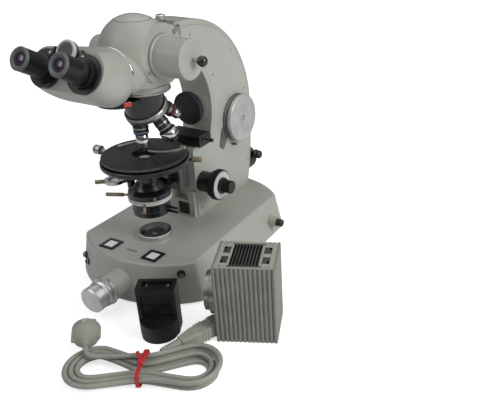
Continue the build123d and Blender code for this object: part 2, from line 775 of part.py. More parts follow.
# Chrome ring under the neck
with BuildPart() as changer_ring:
    turn(axis_plane((0, housing_y, 0), upright),
         [(24, changer_ring_low), (changer_ring_radius, changer_ring_low),
          (changer_ring_radius + 1, changer_ring_low + 1), (changer_ring_radius + 1, changer_ring_low + 3),
          (changer_ring_radius, changer_ring_low + 4), (changer_ring_radius, neck_z), (24, neck_z)])
changer_ring.part.label = "changer_ring"
export_step(changer_ring.part, "parts/changer_ring.step")

# Nosepiece housing: a black cone that leans back to the turret, with the slot of the changer wheel
turret_dir = (0, sin(radians(turret_tilt)), -cos(radians(turret_tilt)))
turret_axis = axis_plane((0, 0, pivot_z), turret_dir)
turret_top = turret_ring_low - 2
pin_radius = 6.0


def along_turret(distance):
    """The point of the turret's axis at a distance from the pivot."""
    return (0, turret_dir[1] * distance, pivot_z + turret_dir[2] * distance)


cone_top = 296.0
with BuildPart() as nosepiece_housing:
    with BuildSketch(Plane.XY.offset(cone_top)):
        with Locations((0, housing_y)):
            Circle(housing_radius)
    with BuildSketch(Plane(origin=along_turret(turret_top - 0.3), x_dir=rightward, z_dir=turret_dir)):
        Circle(turret_ring_radius - 3)
    loft()
    rod((0, housing_y, cone_top), (0, housing_y, changer_ring_low), housing_radius)
    with BuildSketch(Plane.XY.offset(cone_top - 12)):
        with Locations((-14, -14)):
            RectangleRounded(34, 34, 6)
    extrude(amount=changer_ring_low - cone_top + 12)
    rod(along_turret(turret_top - 2), along_turret(turret_ball - 10), pin_radius)
    rod((0, 0, 240), (0, 0, 310), 9, Mode.SUBTRACT)
    with Locations((wheel_x, wheel_y, wheel_low - slide_gap)):
        Cylinder(wheel_radius + 0.5, wheel_thick + 2 * slide_gap,
                 align=(Align.CENTER, Align.CENTER, Align.MIN), mode=Mode.SUBTRACT)
    rod((wheel_x, wheel_y, wheel_low - 4), (wheel_x, wheel_y, cone_top), 4)
nosepiece_housing.part.label = "nosepiece_housing"
export_step(nosepiece_housing.part, "parts/nosepiece_housing.step")

# Toothed changer wheel with four lens holes
with BuildPart() as changer_wheel:
    toothed(Plane.XY.offset(wheel_low).shift_origin((wheel_x, wheel_y, wheel_low)), wheel_radius, 1.0, 40,
            wheel_thick)
    lens_ring = hypot(wheel_x, wheel_y)
    with Locations((wheel_x, wheel_y, wheel_low)):
        with PolarLocations(lens_ring, 4, start_angle=61.4):
            Cylinder(4.5, 30, mode=Mode.SUBTRACT)
        Cylinder(4 + shaft_gap, 30, mode=Mode.SUBTRACT)
changer_wheel.part.label = "changer_wheel"
export_step(changer_wheel.part, "parts/changer_wheel.step")

# Turret: a knurled ring and a bowl that is part of a ball about the pivot
rim_distance = sqrt(turret_ball ** 2 - (turret_ring_radius - 2) ** 2)


def objective_dir(place):
    """The direction of one objective's axis, turned about the turret's axis."""
    return Vector(0, 0, -1).rotate(Axis((0, 0, 0), turret_dir), 360 / turret_places * place)


with BuildPart() as turret:
    with BuildSketch(turret_axis):
        with BuildLine():
            Polyline((pin_radius + shaft_gap, turret_ring_low - 2),
                     (turret_ring_radius - 2, turret_ring_low - 2), (turret_ring_radius, turret_ring_low),
                     (turret_ring_radius, turret_ring_high - 1), (turret_ring_radius - 2, rim_distance))
            ThreePointArc((turret_ring_radius - 2, rim_distance),
                          (turret_ball * sin(radians(18)), turret_ball * cos(radians(18))),
                          (pin_radius + shaft_gap, sqrt(turret_ball ** 2 - (pin_radius + shaft_gap) ** 2)))
            Line((pin_radius + shaft_gap, sqrt(turret_ball ** 2 - (pin_radius + shaft_gap) ** 2)),
                 (pin_radius + shaft_gap, turret_ring_low - 2))
        make_face()
    revolve(axis=Axis(turret_axis.origin, turret_axis.y_dir))
    for place in range(turret_places):
        way = objective_dir(place)
        seat = Vector(0, 0, pivot_z) + way * seat_distance
        with BuildSketch(Plane(origin=seat, z_dir=way)):
            Circle(11.5)
        extrude(amount=10, mode=Mode.SUBTRACT)
        with BuildSketch(Plane(origin=seat, z_dir=way)):
            Circle(6)
        extrude(amount=-24, mode=Mode.SUBTRACT)
turret.part.label = "turret"
export_step(turret.part, "parts/turret.step")

# Objectives: stepped barrels of different lengths (radius, distance from the pivot)
barrels = [
    [(11, 57), (11, 68), (9, 70), (9, 90), (6, 94), (4, tip_distance)],
    [(9.5, 58), (9.5, 62), (8, 64), (8, 70), (5, 74), (5, 76)],
    [(10, 58), (10, 72), (8.5, 74), (8.5, 84), (6, 88), (4, 92)],
    [(10, 58), (10, 72), (7.5, 73), (7.5, 84), (5, 87), (4, 89)],
    [(10.5, 57), (10.5, 72), (13, 74), (13, 87), (8, 89), (6, 94)],
]
with BuildPart() as objectives:
    for place in range(turret_places):
        way = objective_dir(place)
        steps = barrels[place]
        across = way.cross(Vector(0.3, 1, 0.2)).normalized()
        turn(axis_plane((0, 0, pivot_z), tuple(way), tuple(across)),
             [(0, seat_distance), (10, seat_distance)] + steps + [(0, steps[-1][1])])
objectives.part.label = "objectives"
export_step(objectives.part, "parts/objectives.step")

# Binocular body: from the round port of the head to the face that carries the eyepieces
eye_dir = (0, cos(radians(eye_tilt)), -sin(radians(eye_tilt)))
eye_up = (0, sin(radians(eye_tilt)), cos(radians(eye_tilt)))


def eye_point(x, depth, rise=0.0):
    """A point in the eyepiece frame: depth along the tubes from their ends, and rise square to them."""
    return (x, eye_y + eye_dir[1] * depth + eye_up[1] * rise, eye_z + eye_dir[2] * depth + eye_up[2] * rise)


face_depth = eyepiece_length + 7.0


def eye_plane(depth):
    """A plane square to the eyepiece tubes, looking at the observer."""
    return Plane(origin=eye_point(0, depth), x_dir=rightward, z_dir=(0, -eye_dir[1], -eye_dir[2]))


body_wide = 2 * (eye_half + carrier_radius + slide_travel) - 4
body_tall = 2 * carrier_radius
with BuildPart() as binocular_body:
    with BuildSketch(Plane(origin=(0, port_plane, port_z), x_dir=rightward, z_dir=forward)):
        RectangleRounded(2 * port_radius, 2 * port_radius, port_radius - 0.5)
    belly_plane = Plane(origin=(0, port_plane - 22, port_z + 2), x_dir=rightward, z_dir=(0, -0.97, 0.24))
    with BuildSketch(belly_plane):
        RectangleRounded(100, 74, 33)
    with BuildSketch(eye_plane(face_depth)):
        with Locations((0, 2)):
            RectangleRounded(body_wide, body_tall + 4, carrier_radius)
    loft()
    # Seat of the dial's shaft
    dial_rise = 23.0
    rod(eye_point(0, face_depth - 1, dial_rise), eye_point(0, face_depth + 14, dial_rise), 3 + shaft_gap,
        Mode.SUBTRACT)
    rod(eye_point(-eye_half, face_depth - 1), eye_point(-eye_half, face_depth + 30), 12, Mode.SUBTRACT)
    rod(eye_point(eye_half, face_depth - 1), eye_point(eye_half, face_depth + 30), 12, Mode.SUBTRACT)
binocular_body.part.label = "binocular_body"
export_step(binocular_body.part, "parts/binocular_body.step")

# Sliding eyepiece carriers: a drop-shaped plate with a collar
plate_back = face_depth - slide_gap
plate_front = plate_back - carrier_thick
collar_front = plate_front - 6
for name, side in (("left_carrier", -1), ("right_carrier", 1)):
    with BuildPart() as eye_carrier:
        with BuildSketch(eye_plane(plate_back)):
            with Locations((side * eye_half, 0)):
                Circle(carrier_radius)
            with BuildLine():
                Polyline((side * (eye_half - 6), 25), (side * (eye_half - 12), 31), (side * 18.5, 31),
                         (side * 18.5, 8), (side * eye_half, -5), (side * (eye_half + 20), 12), close=True)
            make_face()
            with Locations((0, dial_rise)):
                Circle(dial_radius + 2 + slide_travel, mode=Mode.SUBTRACT)
            with Locations((-side * 30, 0)):
                Rectangle(2 * (30 + slide_travel + 1), 120, mode=Mode.SUBTRACT)
        extrude(amount=carrier_thick)
        with BuildSketch(eye_plane(plate_front)):
            with Locations((side * eye_half, 0)):
                Circle(collar_radius)
        extrude(amount=6)
        rod(eye_point(side * eye_half, collar_front - 1), eye_point(side * eye_half, plate_back + 1),
            eye_shaft_radius + shaft_gap, Mode.SUBTRACT)
    eye_carrier.part.label = name
    export_step(eye_carrier.part, f"parts/{name}.step")

# Dial between the eyepieces
with BuildPart() as pupil_dial:
    turn(axis_plane(eye_point(0, face_depth, dial_rise), (0, -eye_dir[1], -eye_dir[2])),
         [(0, -12), (3, -12), (3, 0.3), (dial_radius - 1, 0.3), (dial_radius, 1.3), (dial_radius, 7),
          (dial_radius - 1, 8), (0, 8)])
pupil_dial.part.label = "pupil_dial"
export_step(pupil_dial.part, "parts/pupil_dial.step")

# Eyepieces, each in the bore of its carrier
for name, side in (("left_eyepiece", -1), ("right_eyepiece", 1)):
    with BuildPart() as eyepiece:
        start = collar_front - 0.3
        turn(axis_plane(eye_point(side * eye_half, 0), eye_dir),
             [(0, 3), (eye_lens_radius, 3), (eye_lens_radius, 2), (eyepiece_radius - 1.5, 0),
              (eyepiece_radius, 1.5), (eyepiece_radius, start - 3), (eyepiece_radius + 1.5, start - 2),
              (eyepiece_radius + 1.5, start), (eye_shaft_radius, start), (eye_shaft_radius, plate_back),
              (0, plate_back)])
    eyepiece.part.label = name
    export_step(eyepiece.part, f"parts/{name}.step")

# Stage bracket: a column in the channel of the arm, with a shelf under the stage and rack teeth behind
column_low = 120.0
shelf_top = stage_ring_low
with BuildPart() as stage_bracket:
    with BuildSketch(Plane.XY.offset(column_low)):
        with Locations((0, (58 + tongue_back) / 2)):
            Rectangle(2 * bracket_half, tongue_back - 58)
    extrude(amount=shelf_top - column_low)
    fillet(stage_bracket.edges().filter_by(Axis.Z).group_by(Axis.Y)[0], 7)
    with BuildSketch(Plane.XY.offset(shelf_top - 8)):
        with Locations((0, 56)):
            RectangleRounded(44, 28, 5)
    extrude(amount=8)
    with BuildSketch(Plane.YZ.offset(-8.5)):
        with Locations((tongue_back, (column_low + shelf_top) / 2)):
            with GridLocations(1, 3.8, 1, 16):
                Circle(1.1)
    extrude(amount=17, mode=Mode.SUBTRACT)
    rod((0, 0, 180), (0, 0, shelf_top + 1), stage_hub_radius + 2, Mode.SUBTRACT)
stage_bracket.part.label = "stage_bracket"
export_step(stage_bracket.part, "parts/stage_bracket.step")

# Outer ring of the stage, fixed to the shelf, with its two centring knobs
knob_z = (stage_ring_low + stage_ring_top) / 2
knob_way = Vector(cos(radians(27)), sin(radians(27)), 0)
with BuildPart() as stage_ring:
    turn(axis_plane((0, 0, 0), upright),
         [(stage_hub_radius + shaft_gap, stage_ring_low), (stage_ring_radius - 2, stage_ring_low),
          (stage_ring_radius, stage_ring_low + 2), (stage_ring_radius, stage_ring_top - 1),
          (stage_ring_radius - 1, stage_ring_top), (stage_hub_radius + shaft_gap, stage_ring_top)])
    rod((-stage_ring_radius + 2, 0, knob_z), (-86, 0, knob_z), 2.5)
    rod((-86, 0, knob_z), (-98, 0, knob_z), 7)
    fillet(stage_ring.faces().sort_by(Axis.X)[0].edges(), 1)
    rod(lift(knob_way * (stage_ring_radius - 2), knob_z), lift(knob_way * 71, knob_z), 2.2)
    rod(lift(knob_way * 71, knob_z), lift(knob_way * 84, knob_z), 3.6)
stage_ring.part.label = "stage_ring"
export_step(stage_ring.part, "parts/stage_ring.step")

# Rotating stage plate with its hub
with BuildPart() as stage_plate:
    turn(axis_plane((0, 0, 0), upright),
         [(stage_hole, stage_ring_low - 2), (stage_hub_radius, stage_ring_low - 2),
          (stage_hub_radius, stage_ring_top + 0.3), (stage_radius, stage_ring_top + 2.5),
          (stage_radius, stage_top - 0.8), (stage_radius - 0.8, stage_top), (stage_hole, stage_top)])
stage_plate.part.label = "stage_plate"
export_step(stage_plate.part, "parts/stage_plate.step")


# Specimen clips: curved flat strips, each turning on its post
def clip(post, bend, tip, name):
    middle = ThreePointArc(post, bend, tip)
    with BuildPart() as stage_clip:
        with BuildSketch(Plane.XY.offset(stage_top + 0.3)):
            SlotArc(middle, clip_wide)
        extrude(amount=clip_thick)
        with BuildSketch(Plane.XY.offset(stage_top + 0.3)):
            with Locations(post):
                Circle(4.5)
        extrude(amount=2 * clip_thick)
    stage_clip.part.label = name
    export_step(stage_clip.part, f"parts/{name}.step")


clip((41, 40), (29, 17), (3, 8), "right_clip")
clip((-47, 2), (-45, 16), (-38, 28), "left_clip")

# Condenser body, with a bore for the light and a pin for the swing-out lens
swing_x = -37.0
swing_y = 2.0
swing_z = 152.0
swing_pin_radius = 2.5
swing_thick = 5.0
flange_low = scale_high + 0.3
flange_high = scale_high + 8
with BuildPart() as condenser_body:
    turn(axis_plane((0, 0, 0), upright),
         [(condenser_bore, condenser_low), (lower_radius, condenser_low), (lower_radius, condenser_low + 8),
          (lower_radius - 1, condenser_low + 9), (lower_radius - 1, condenser_low + 11),
          (lower_radius, condenser_low + 12), (lower_radius, flange_low), (flange_radius, flange_low),
          (flange_radius, flange_high), (24, scale_high + 13), (18, scale_high + 21), (16, scale_high + 24),
          (16, condenser_top - 6), (13, condenser_top), (0, condenser_top), (0, condenser_top - 8),
          (condenser_bore, condenser_top - 8)])
    block((swing_x, swing_y - 5, flange_low + 1), (-condenser_bore - 10, swing_y + 5, flange_high))
    rod((swing_x, swing_y, flange_low + 1), (swing_x, swing_y, swing_z - slide_gap), 6)
    rod((swing_x, swing_y, swing_z - 1), (swing_x, swing_y, swing_z + swing_thick + 1.5), swing_pin_radius)
    # Filter forks below, on the right
    for height in (112, 119):
        rod((20, 6, height), (46, 6, height), 2)
    rod((0, 0, condenser_low - 1), (0, 0, condenser_top - 8), condenser_bore, Mode.SUBTRACT)
condenser_body.part.label = "condenser_body"
export_step(condenser_body.part, "parts/condenser_body.step")

# Aperture ring with its two levers
with BuildPart() as aperture_ring:
    middle = (scale_low + scale_high) / 2
    turn(axis_plane((0, 0, 0), upright),
         [(lower_radius + seat_gap, scale_low), (scale_radius - 1, scale_low), (scale_radius, scale_low + 1),
          (scale_radius, scale_high), (lower_radius + seat_gap, scale_high)])
    left = Vector(-0.92, -0.39, 0)
    rod(lift(left * 31, middle), lift(left * 42, middle), 1.6)
    rod(lift(left * 42, middle), lift(left * 69, middle), 2.6)
    front = Vector(0.42, -0.91, 0)
    rod(lift(front * 31, middle), lift(front * 39, middle - 12), 2.2)
aperture_ring.part.label = "aperture_ring"
export_step(aperture_ring.part, "parts/aperture_ring.step")

# Condenser bracket: it hangs on the front of the stage bracket
hanger_low = scale_high + 0.5
with BuildPart() as condenser_bracket:
    block((-11, 20, hanger_low), (11, 58 - slide_gap, hanger_low + 14))
    rod((-19, 45, hanger_low + 7), (19, 45, hanger_low + 7), 5)
    rod((0, 0, 130), (0, 0, 175), flange_radius, Mode.SUBTRACT)
condenser_bracket.part.label = "condenser_bracket"
export_step(condenser_bracket.part, "parts/condenser_bracket.step")

# Swing-out lens under the stage, on the pin at the left of the condenser
with BuildPart() as swing_lens:
    with BuildSketch(Plane.XY.offset(swing_z)):
        with Locations((swing_x - 18, swing_y - 16)):
            Circle(15)
        with Locations((swing_x, swing_y)):
            Circle(5)
        with BuildLine():
            Polyline((swing_x - 4, swing_y + 4), (swing_x + 4, swing_y - 4), (swing_x - 8, swing_y - 22),
                     (swing_x - 22, swing_y - 6), close=True)
        make_face()
        with Locations((swing_x - 18, swing_y - 16)):
            Circle(9, mode=Mode.SUBTRACT)
    extrude(amount=swing_thick)
    handle_z = swing_z + swing_thick / 2
    rod((swing_x - 27, swing_y - 24, handle_z), (swing_x - 40, swing_y - 34, handle_z), 3)
    with Locations((swing_x, swing_y, swing_z)):
        Cylinder(swing_pin_radius + shaft_gap, 30, mode=Mode.SUBTRACT)
swing_lens.part.label = "swing_lens"
export_step(swing_lens.part, "parts/swing_lens.step")

# Lamp housing: a ribbed hollow box, open at the top and on its port side
lamp_plane = Plane(origin=(lamp_x, lamp_y, 0), x_dir=(cos(radians(lamp_turn)), sin(radians(lamp_turn)), 0),
                   z_dir=upright)


def lamp_point(wide, deep, height):
    """A point in the lamp housing's own frame."""
    return tuple(lamp_plane.from_local_coords(Vector(wide, deep, height)))


way = Vector(*coupler_turn, 0).normalized()
square = Vector(-way.Y, way.X, 0)
inlet = Vector(*coupler_start, 0)


def lamp_sketch(height):
    """The ribbed outline of the lamp housing."""
    with BuildSketch(lamp_plane.offset(height)) as outline:
        with Locations((lamp_wide / 2, lamp_deep / 2)):
            Rectangle(lamp_wide - 2 * rib_radius, lamp_deep - 2 * rib_radius)
            with GridLocations((lamp_wide - 2 * rib_radius) / (rib_front - 1), lamp_deep - 2 * rib_radius,
                               rib_front, 2):
                Circle(rib_radius)
            with GridLocations(lamp_wide - 2 * rib_radius, (lamp_deep - 2 * rib_radius) / (rib_side - 1),
                               2, rib_side):
                Circle(rib_radius)
    return outline.sketch


with BuildPart() as lamp_housing:
    extrude(lamp_sketch(0), amount=lamp_high)
    # Oblique seat of the mains inlet
    with BuildSketch(Plane.XY.offset(2)):
        with BuildLine():
            Polyline(inlet + square * 12, inlet - square * 12, inlet - square * 12 - way * 12,
                     lamp_point(6, 30, 0), lamp_point(6, 8, 0), close=True)
        make_face()
    extrude(amount=20)
    block_wide = lamp_wide - 2 * (lamp_wall + rib_radius)
    block_deep = lamp_deep - 2 * (lamp_wall + rib_radius)
    with BuildSketch(lamp_plane.offset(lamp_wall)):
        with Locations((lamp_wide / 2, lamp_deep / 2)):
            Rectangle(block_wide, block_deep)
    extrude(amount=lamp_high, mode=Mode.SUBTRACT)
    rod(lamp_point(-20, lamp_deep / 2, lamp_flange_z), lamp_point(20, lamp_deep / 2, lamp_flange_z),
        lamp_bore + 1, Mode.SUBTRACT)
lamp_housing.part.label = "lamp_housing"
export_step(lamp_housing.part, "parts/lamp_housing.step")

# Grille that closes the top
with BuildPart() as lamp_grille:
    with BuildSketch(lamp_plane.offset(lamp_high - grille_thick)):
        with Locations((lamp_wide / 2, lamp_deep / 2)):
            Rectangle(block_wide - 2 * seat_gap, block_deep - 2 * seat_gap)
            with Locations((-1, 0)):
                with GridLocations(4.4, 0, 9, 1):
                    Rectangle(2.6, block_deep - 8, mode=Mode.SUBTRACT)
            with GridLocations(block_wide - 8, block_deep - 22, 2, 2):
                Rectangle(5, 8, mode=Mode.SUBTRACT)
    extrude(amount=grille_thick)
lamp_grille.part.label = "lamp_grille"
export_step(lamp_grille.part, "parts/lamp_grille.step")

# Port flange on the left face
with BuildPart() as lamp_flange:
    turn(axis_plane(lamp_point(0, lamp_deep / 2, lamp_flange_z), tuple(lamp_plane.x_dir * -1), upright),
         [(lamp_bore, 0), (lamp_flange_radius, 0), (lamp_flange_radius, 7), (lamp_flange_radius - 5, 9),
          (lamp_flange_radius - 5, 15), (lamp_bore, 15)])
lamp_flange.part.label = "lamp_flange"
export_step(lamp_flange.part, "parts/lamp_flange.step")

# Bulb in its holder
with BuildPart() as lamp_bulb:
    turn(axis_plane(lamp_point(lamp_wide / 2, lamp_deep / 2, 0), upright),
         [(0, lamp_wall), (14, lamp_wall), (14, 40), (9, 42), (9, 50), (12, 56), (12, 72), (8, 80), (0, 82)])
lamp_bulb.part.label = "lamp_bulb"
export_step(lamp_bulb.part, "parts/lamp_bulb.step")

# Mains coupler with its strain relief
coupler_end = inlet + way * (coupler_body + relief_length)
relief_start = inlet + way * coupler_body
with BuildPart() as mains_coupler:
    for distance, wide, high in ((0, 25, 19), (30, 22, 18), (coupler_body, 15, 14)):
        spot = inlet + way * distance
        with BuildSketch(Plane(origin=(spot.X, spot.Y, coupler_z), x_dir=square, z_dir=way)):
            RectangleRounded(wide, high, 3)
    loft(ruled=True)
    with BuildSketch(Plane(origin=(relief_start.X, relief_start.Y, coupler_z), x_dir=square, z_dir=way)):
        Circle(6.5)
    extrude(amount=relief_length, taper=2.5)
mains_coupler.part.label = "mains_coupler"
export_step(mains_coupler.part, "parts/mains_coupler.step")

# Plug's place, beside the left end of the hank
plug_dir = Vector(0.67, -0.742, 0).normalized()
plug_side = Vector(-plug_dir.Y, plug_dir.X, 0)
plug_face = Vector(26.6, -189.1, 0)
plug_tail = plug_face + plug_dir * plug_length

# Hank: the outer form of the tied turns, cut square where the relief and the plug's tail meet it
hank_plane = Plane(origin=(139.5, -207.5, 0), x_dir=(cos(radians(hank_turn)), sin(radians(hank_turn)), 0),
                   z_dir=upright)
with BuildPart() as lead_hank:
    with BuildSketch(hank_plane):
        with Locations((-hank_reach, 0), (hank_reach, 0)):
            Circle(hank_loop)
        with BuildLine():
            Polyline((-hank_reach, hank_loop), (-12, hank_waist), (24, hank_waist), (hank_reach, hank_loop),
                     (hank_reach, -hank_loop), (14, -hank_waist - hank_sag), (-14, -hank_waist - hank_sag),
                     (-hank_reach, -hank_loop), close=True)
        make_face()
    extrude(amount=hank_high)
    for end, along, half in ((coupler_end, way, 9), (plug_tail, plug_dir, plug_radius + 1)):
        with BuildSketch(Plane(origin=(end.X, end.Y, -1), x_dir=tuple(along), z_dir=upright)):
            with Locations((-30, 0)):
                Rectangle(60, 2 * half)
        extrude(amount=hank_high + 2, mode=Mode.SUBTRACT)
lead_hank.part.label = "lead_hank"
export_step(lead_hank.part, "parts/lead_hank.step")


# Mains plug: a round body with flats, two pins and a short relief
with BuildPart() as mains_plug:
    turn(axis_plane((plug_face.X, plug_face.Y, plug_radius), tuple(plug_dir), upright),
         [(0, 0), (plug_radius, 0), (plug_radius, 12), (plug_radius - 3, 20), (7.5, plug_length - 10),
          (plug_tail_radius, plug_length), (0, plug_length)])
    for side in (-1, 1):
        foot = plug_face + plug_side * (9.5 * side)
        tip = foot - plug_dir * 19
        rod((foot.X, foot.Y, plug_radius), (tip.X, tip.Y, plug_radius), 2.4)
mains_plug.part.label = "mains_plug"
export_step(mains_plug.part, "parts/mains_plug.step")

# Film cassette: a box with a slotted top, a stepped front and a round foot
cassette_plane = Plane(origin=(cassette_x, cassette_y, 0),
                       x_dir=(cos(radians(cassette_turn)), sin(radians(cassette_turn)), 0), z_dir=upright)
with BuildPart() as film_cassette:
    with BuildSketch(cassette_plane):
        with Locations((cassette_wide / 2, cassette_deep / 2)):
            RectangleRounded(cassette_wide, cassette_deep, 3)
    extrude(amount=cassette_high)
    with BuildSketch(cassette_plane):
        with Locations((cassette_wide / 2, 5)):
            Circle(cassette_wide / 2 - 1)
    extrude(amount=26)
    with BuildSketch(cassette_plane.offset(30)):
        with Locations((cassette_wide / 2, 0)):
            Rectangle(cassette_wide - 12, 8)
    extrude(amount=34, mode=Mode.SUBTRACT)
    with BuildSketch(cassette_plane.offset(cassette_high - 6)):
        with Locations((cassette_wide / 2, cassette_deep / 2 + 2)):
            Rectangle(cassette_wide - 14, 14)
    extrude(amount=8, mode=Mode.SUBTRACT)
film_cassette.part.label = "film_cassette"
export_step(film_cassette.part, "parts/film_cassette.step")
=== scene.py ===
import bmesh
import bpy
from math import atan2, cos, pi, radians, sin, sqrt
from mathutils import Matrix, Vector


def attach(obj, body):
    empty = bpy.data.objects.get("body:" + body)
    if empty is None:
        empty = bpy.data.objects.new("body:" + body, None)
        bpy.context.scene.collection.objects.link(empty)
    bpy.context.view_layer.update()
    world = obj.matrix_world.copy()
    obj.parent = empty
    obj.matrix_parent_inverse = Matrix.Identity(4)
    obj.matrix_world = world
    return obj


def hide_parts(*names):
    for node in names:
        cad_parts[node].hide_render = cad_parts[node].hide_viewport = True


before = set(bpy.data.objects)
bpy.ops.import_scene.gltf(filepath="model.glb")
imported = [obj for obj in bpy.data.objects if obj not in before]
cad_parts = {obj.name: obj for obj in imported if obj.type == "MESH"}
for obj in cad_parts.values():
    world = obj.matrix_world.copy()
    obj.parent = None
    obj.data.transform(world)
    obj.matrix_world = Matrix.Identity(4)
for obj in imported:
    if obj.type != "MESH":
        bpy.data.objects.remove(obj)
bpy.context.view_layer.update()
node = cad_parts

# Camera. It stands in front of the instrument on its right and looks down on it,
# from where the instrument was photographed.
view_turn = radians(26)
view_fall = radians(28.04)
view_camera = bpy.data.cameras.new("view_camera")
view_camera.lens = 44.6
view_camera.sensor_width = 36
view_camera.shift_x = -0.136
view_camera.shift_y = 0.011
camera_stand = bpy.data.objects.new("view_camera", view_camera)
camera_stand.location = (0.609, -0.657, 0.562)
camera_stand.rotation_euler = (pi / 2 - view_fall, 0, view_turn)
bpy.context.scene.collection.objects.link(camera_stand)
bpy.context.scene.camera = camera_stand

# Studio. A pale table top in soft light from large panels; the room behind it is white,
# and polished metal and glass see that same white.
bpy.context.scene.view_settings.view_transform = "Standard"
room = bpy.data.worlds.new("room")
bpy.context.scene.world = room
room.use_nodes = True
room_nodes = room.node_tree.nodes
room_links = room.node_tree.links
room_nodes.clear()
seen = room_nodes.new("ShaderNodeLightPath")
white_room = room_nodes.new("ShaderNodeBackground")
white_room.inputs["Color"].default_value = (1, 1, 1, 1)
white_room.inputs["Strength"].default_value = 1.0
soft_room = room_nodes.new("ShaderNodeBackground")
soft_room.inputs["Color"].default_value = (0.95, 0.97, 1, 1)
soft_room.inputs["Strength"].default_value = 0.27
either = room_nodes.new("ShaderNodeMixShader")
mirror_room = room_nodes.new("ShaderNodeBackground")
mirror_room.inputs["Strength"].default_value = 1.0
room_place = room_nodes.new("ShaderNodeTexCoord")
room_parts = room_nodes.new("ShaderNodeSeparateXYZ")
room_tone = room_nodes.new("ShaderNodeValToRGB")
room_tone.color_ramp.elements[0].position = 0.02
room_tone.color_ramp.elements[0].color = (0.05, 0.05, 0.05, 1)
room_tone.color_ramp.elements[1].position = 0.95
room_tone.color_ramp.elements[1].color = (0.75, 0.77, 0.78, 1)
room_middle = room_tone.color_ramp.elements.new(0.30)
room_middle.color = (0.16, 0.16, 0.155, 1)
room_bright = room_tone.color_ramp.elements.new(0.55)
room_bright.color = (0.55, 0.56, 0.56, 1)
room_links.new(room_place.outputs["Generated"], room_parts.inputs["Vector"])
room_links.new(room_parts.outputs["Z"], room_tone.inputs["Fac"])
room_links.new(room_tone.outputs["Color"], mirror_room.inputs["Color"])
mirrored = room_nodes.new("ShaderNodeMixShader")
room_out = room_nodes.new("ShaderNodeOutputWorld")
room_links.new(seen.outputs["Is Glossy Ray"], mirrored.inputs["Fac"])
room_links.new(soft_room.outputs["Background"], mirrored.inputs[1])
room_links.new(mirror_room.outputs["Background"], mirrored.inputs[2])
room_links.new(seen.outputs["Is Camera Ray"], either.inputs["Fac"])
room_links.new(mirrored.outputs["Shader"], either.inputs[1])
room_links.new(white_room.outputs["Background"], either.inputs[2])
room_links.new(either.outputs["Shader"], room_out.inputs["Surface"])


def light_panel(name, place, aim, size, power):
    """A square light panel that faces a point."""
    lamp = bpy.data.lights.new(name, "AREA")
    lamp.shape = "SQUARE"
    lamp.size = size
    lamp.energy = power
    panel = bpy.data.objects.new(name, lamp)
    panel.location = place
    panel.rotation_euler = (Vector(aim) - Vector(place)).to_track_quat("-Z", "Y").to_euler()
    bpy.context.scene.collection.objects.link(panel)
    return panel


light_panel("front_panel", (-0.9, -1.5, 1.7), (0, 0, 0.2), 1.2, 7.5)
light_panel("side_panel", (1.7, 0.1, 1.0), (0, 0, 0.2), 0.8, 16)
light_panel("top_panel", (0.1, 0.5, 1.9), (0, 0, 0.1), 1.4, 4)

table_mesh = bmesh.new()
bmesh.ops.create_grid(table_mesh, x_segments=1, y_segments=1, size=6)
table_data = bpy.data.meshes.new("table_top")
table_mesh.to_mesh(table_data)
table_mesh.free()
table_top = bpy.data.objects.new("table_top", table_data)
table_top.location = (0, 0, -0.0003)
bpy.context.scene.collection.objects.link(table_top)
table_paint = bpy.data.materials.new("table_paint")
table_paint.use_nodes = True
table_surface = table_paint.node_tree.nodes["Principled BSDF"]
table_surface.inputs["Base Color"].default_value = (0.92, 0.92, 0.92, 1)
table_surface.inputs["Roughness"].default_value = 0.9
table_surface.inputs["Specular IOR Level"].default_value = 0.2
table_surface.inputs["Emission Color"].default_value = (1, 1, 1, 1)
table_seen = table_paint.node_tree.nodes.new("ShaderNodeLightPath")
table_glow = table_paint.node_tree.nodes.new("ShaderNodeMath")
table_glow.operation = "MULTIPLY"
table_place = table_paint.node_tree.nodes.new("ShaderNodeTexCoord")
table_far = table_paint.node_tree.nodes.new("ShaderNodeVectorMath")
table_far.operation = "LENGTH"
table_rise = table_paint.node_tree.nodes.new("ShaderNodeMapRange")
table_rise.inputs["From Min"].default_value = 0.5
table_rise.inputs["From Max"].default_value = 2.0
table_rise.inputs["To Min"].default_value = 0.66
table_rise.inputs["To Max"].default_value = 1.0
table_paint.node_tree.links.new(table_place.outputs["Object"], table_far.inputs[0])
table_paint.node_tree.links.new(table_far.outputs["Value"], table_rise.inputs["Value"])
table_paint.node_tree.links.new(table_rise.outputs["Result"], table_glow.inputs[1])
table_paint.node_tree.links.new(table_seen.outputs["Is Camera Ray"], table_glow.inputs[0])
table_paint.node_tree.links.new(table_glow.outputs["Value"], table_surface.inputs["Emission Strength"])
table_data.materials.append(table_paint)


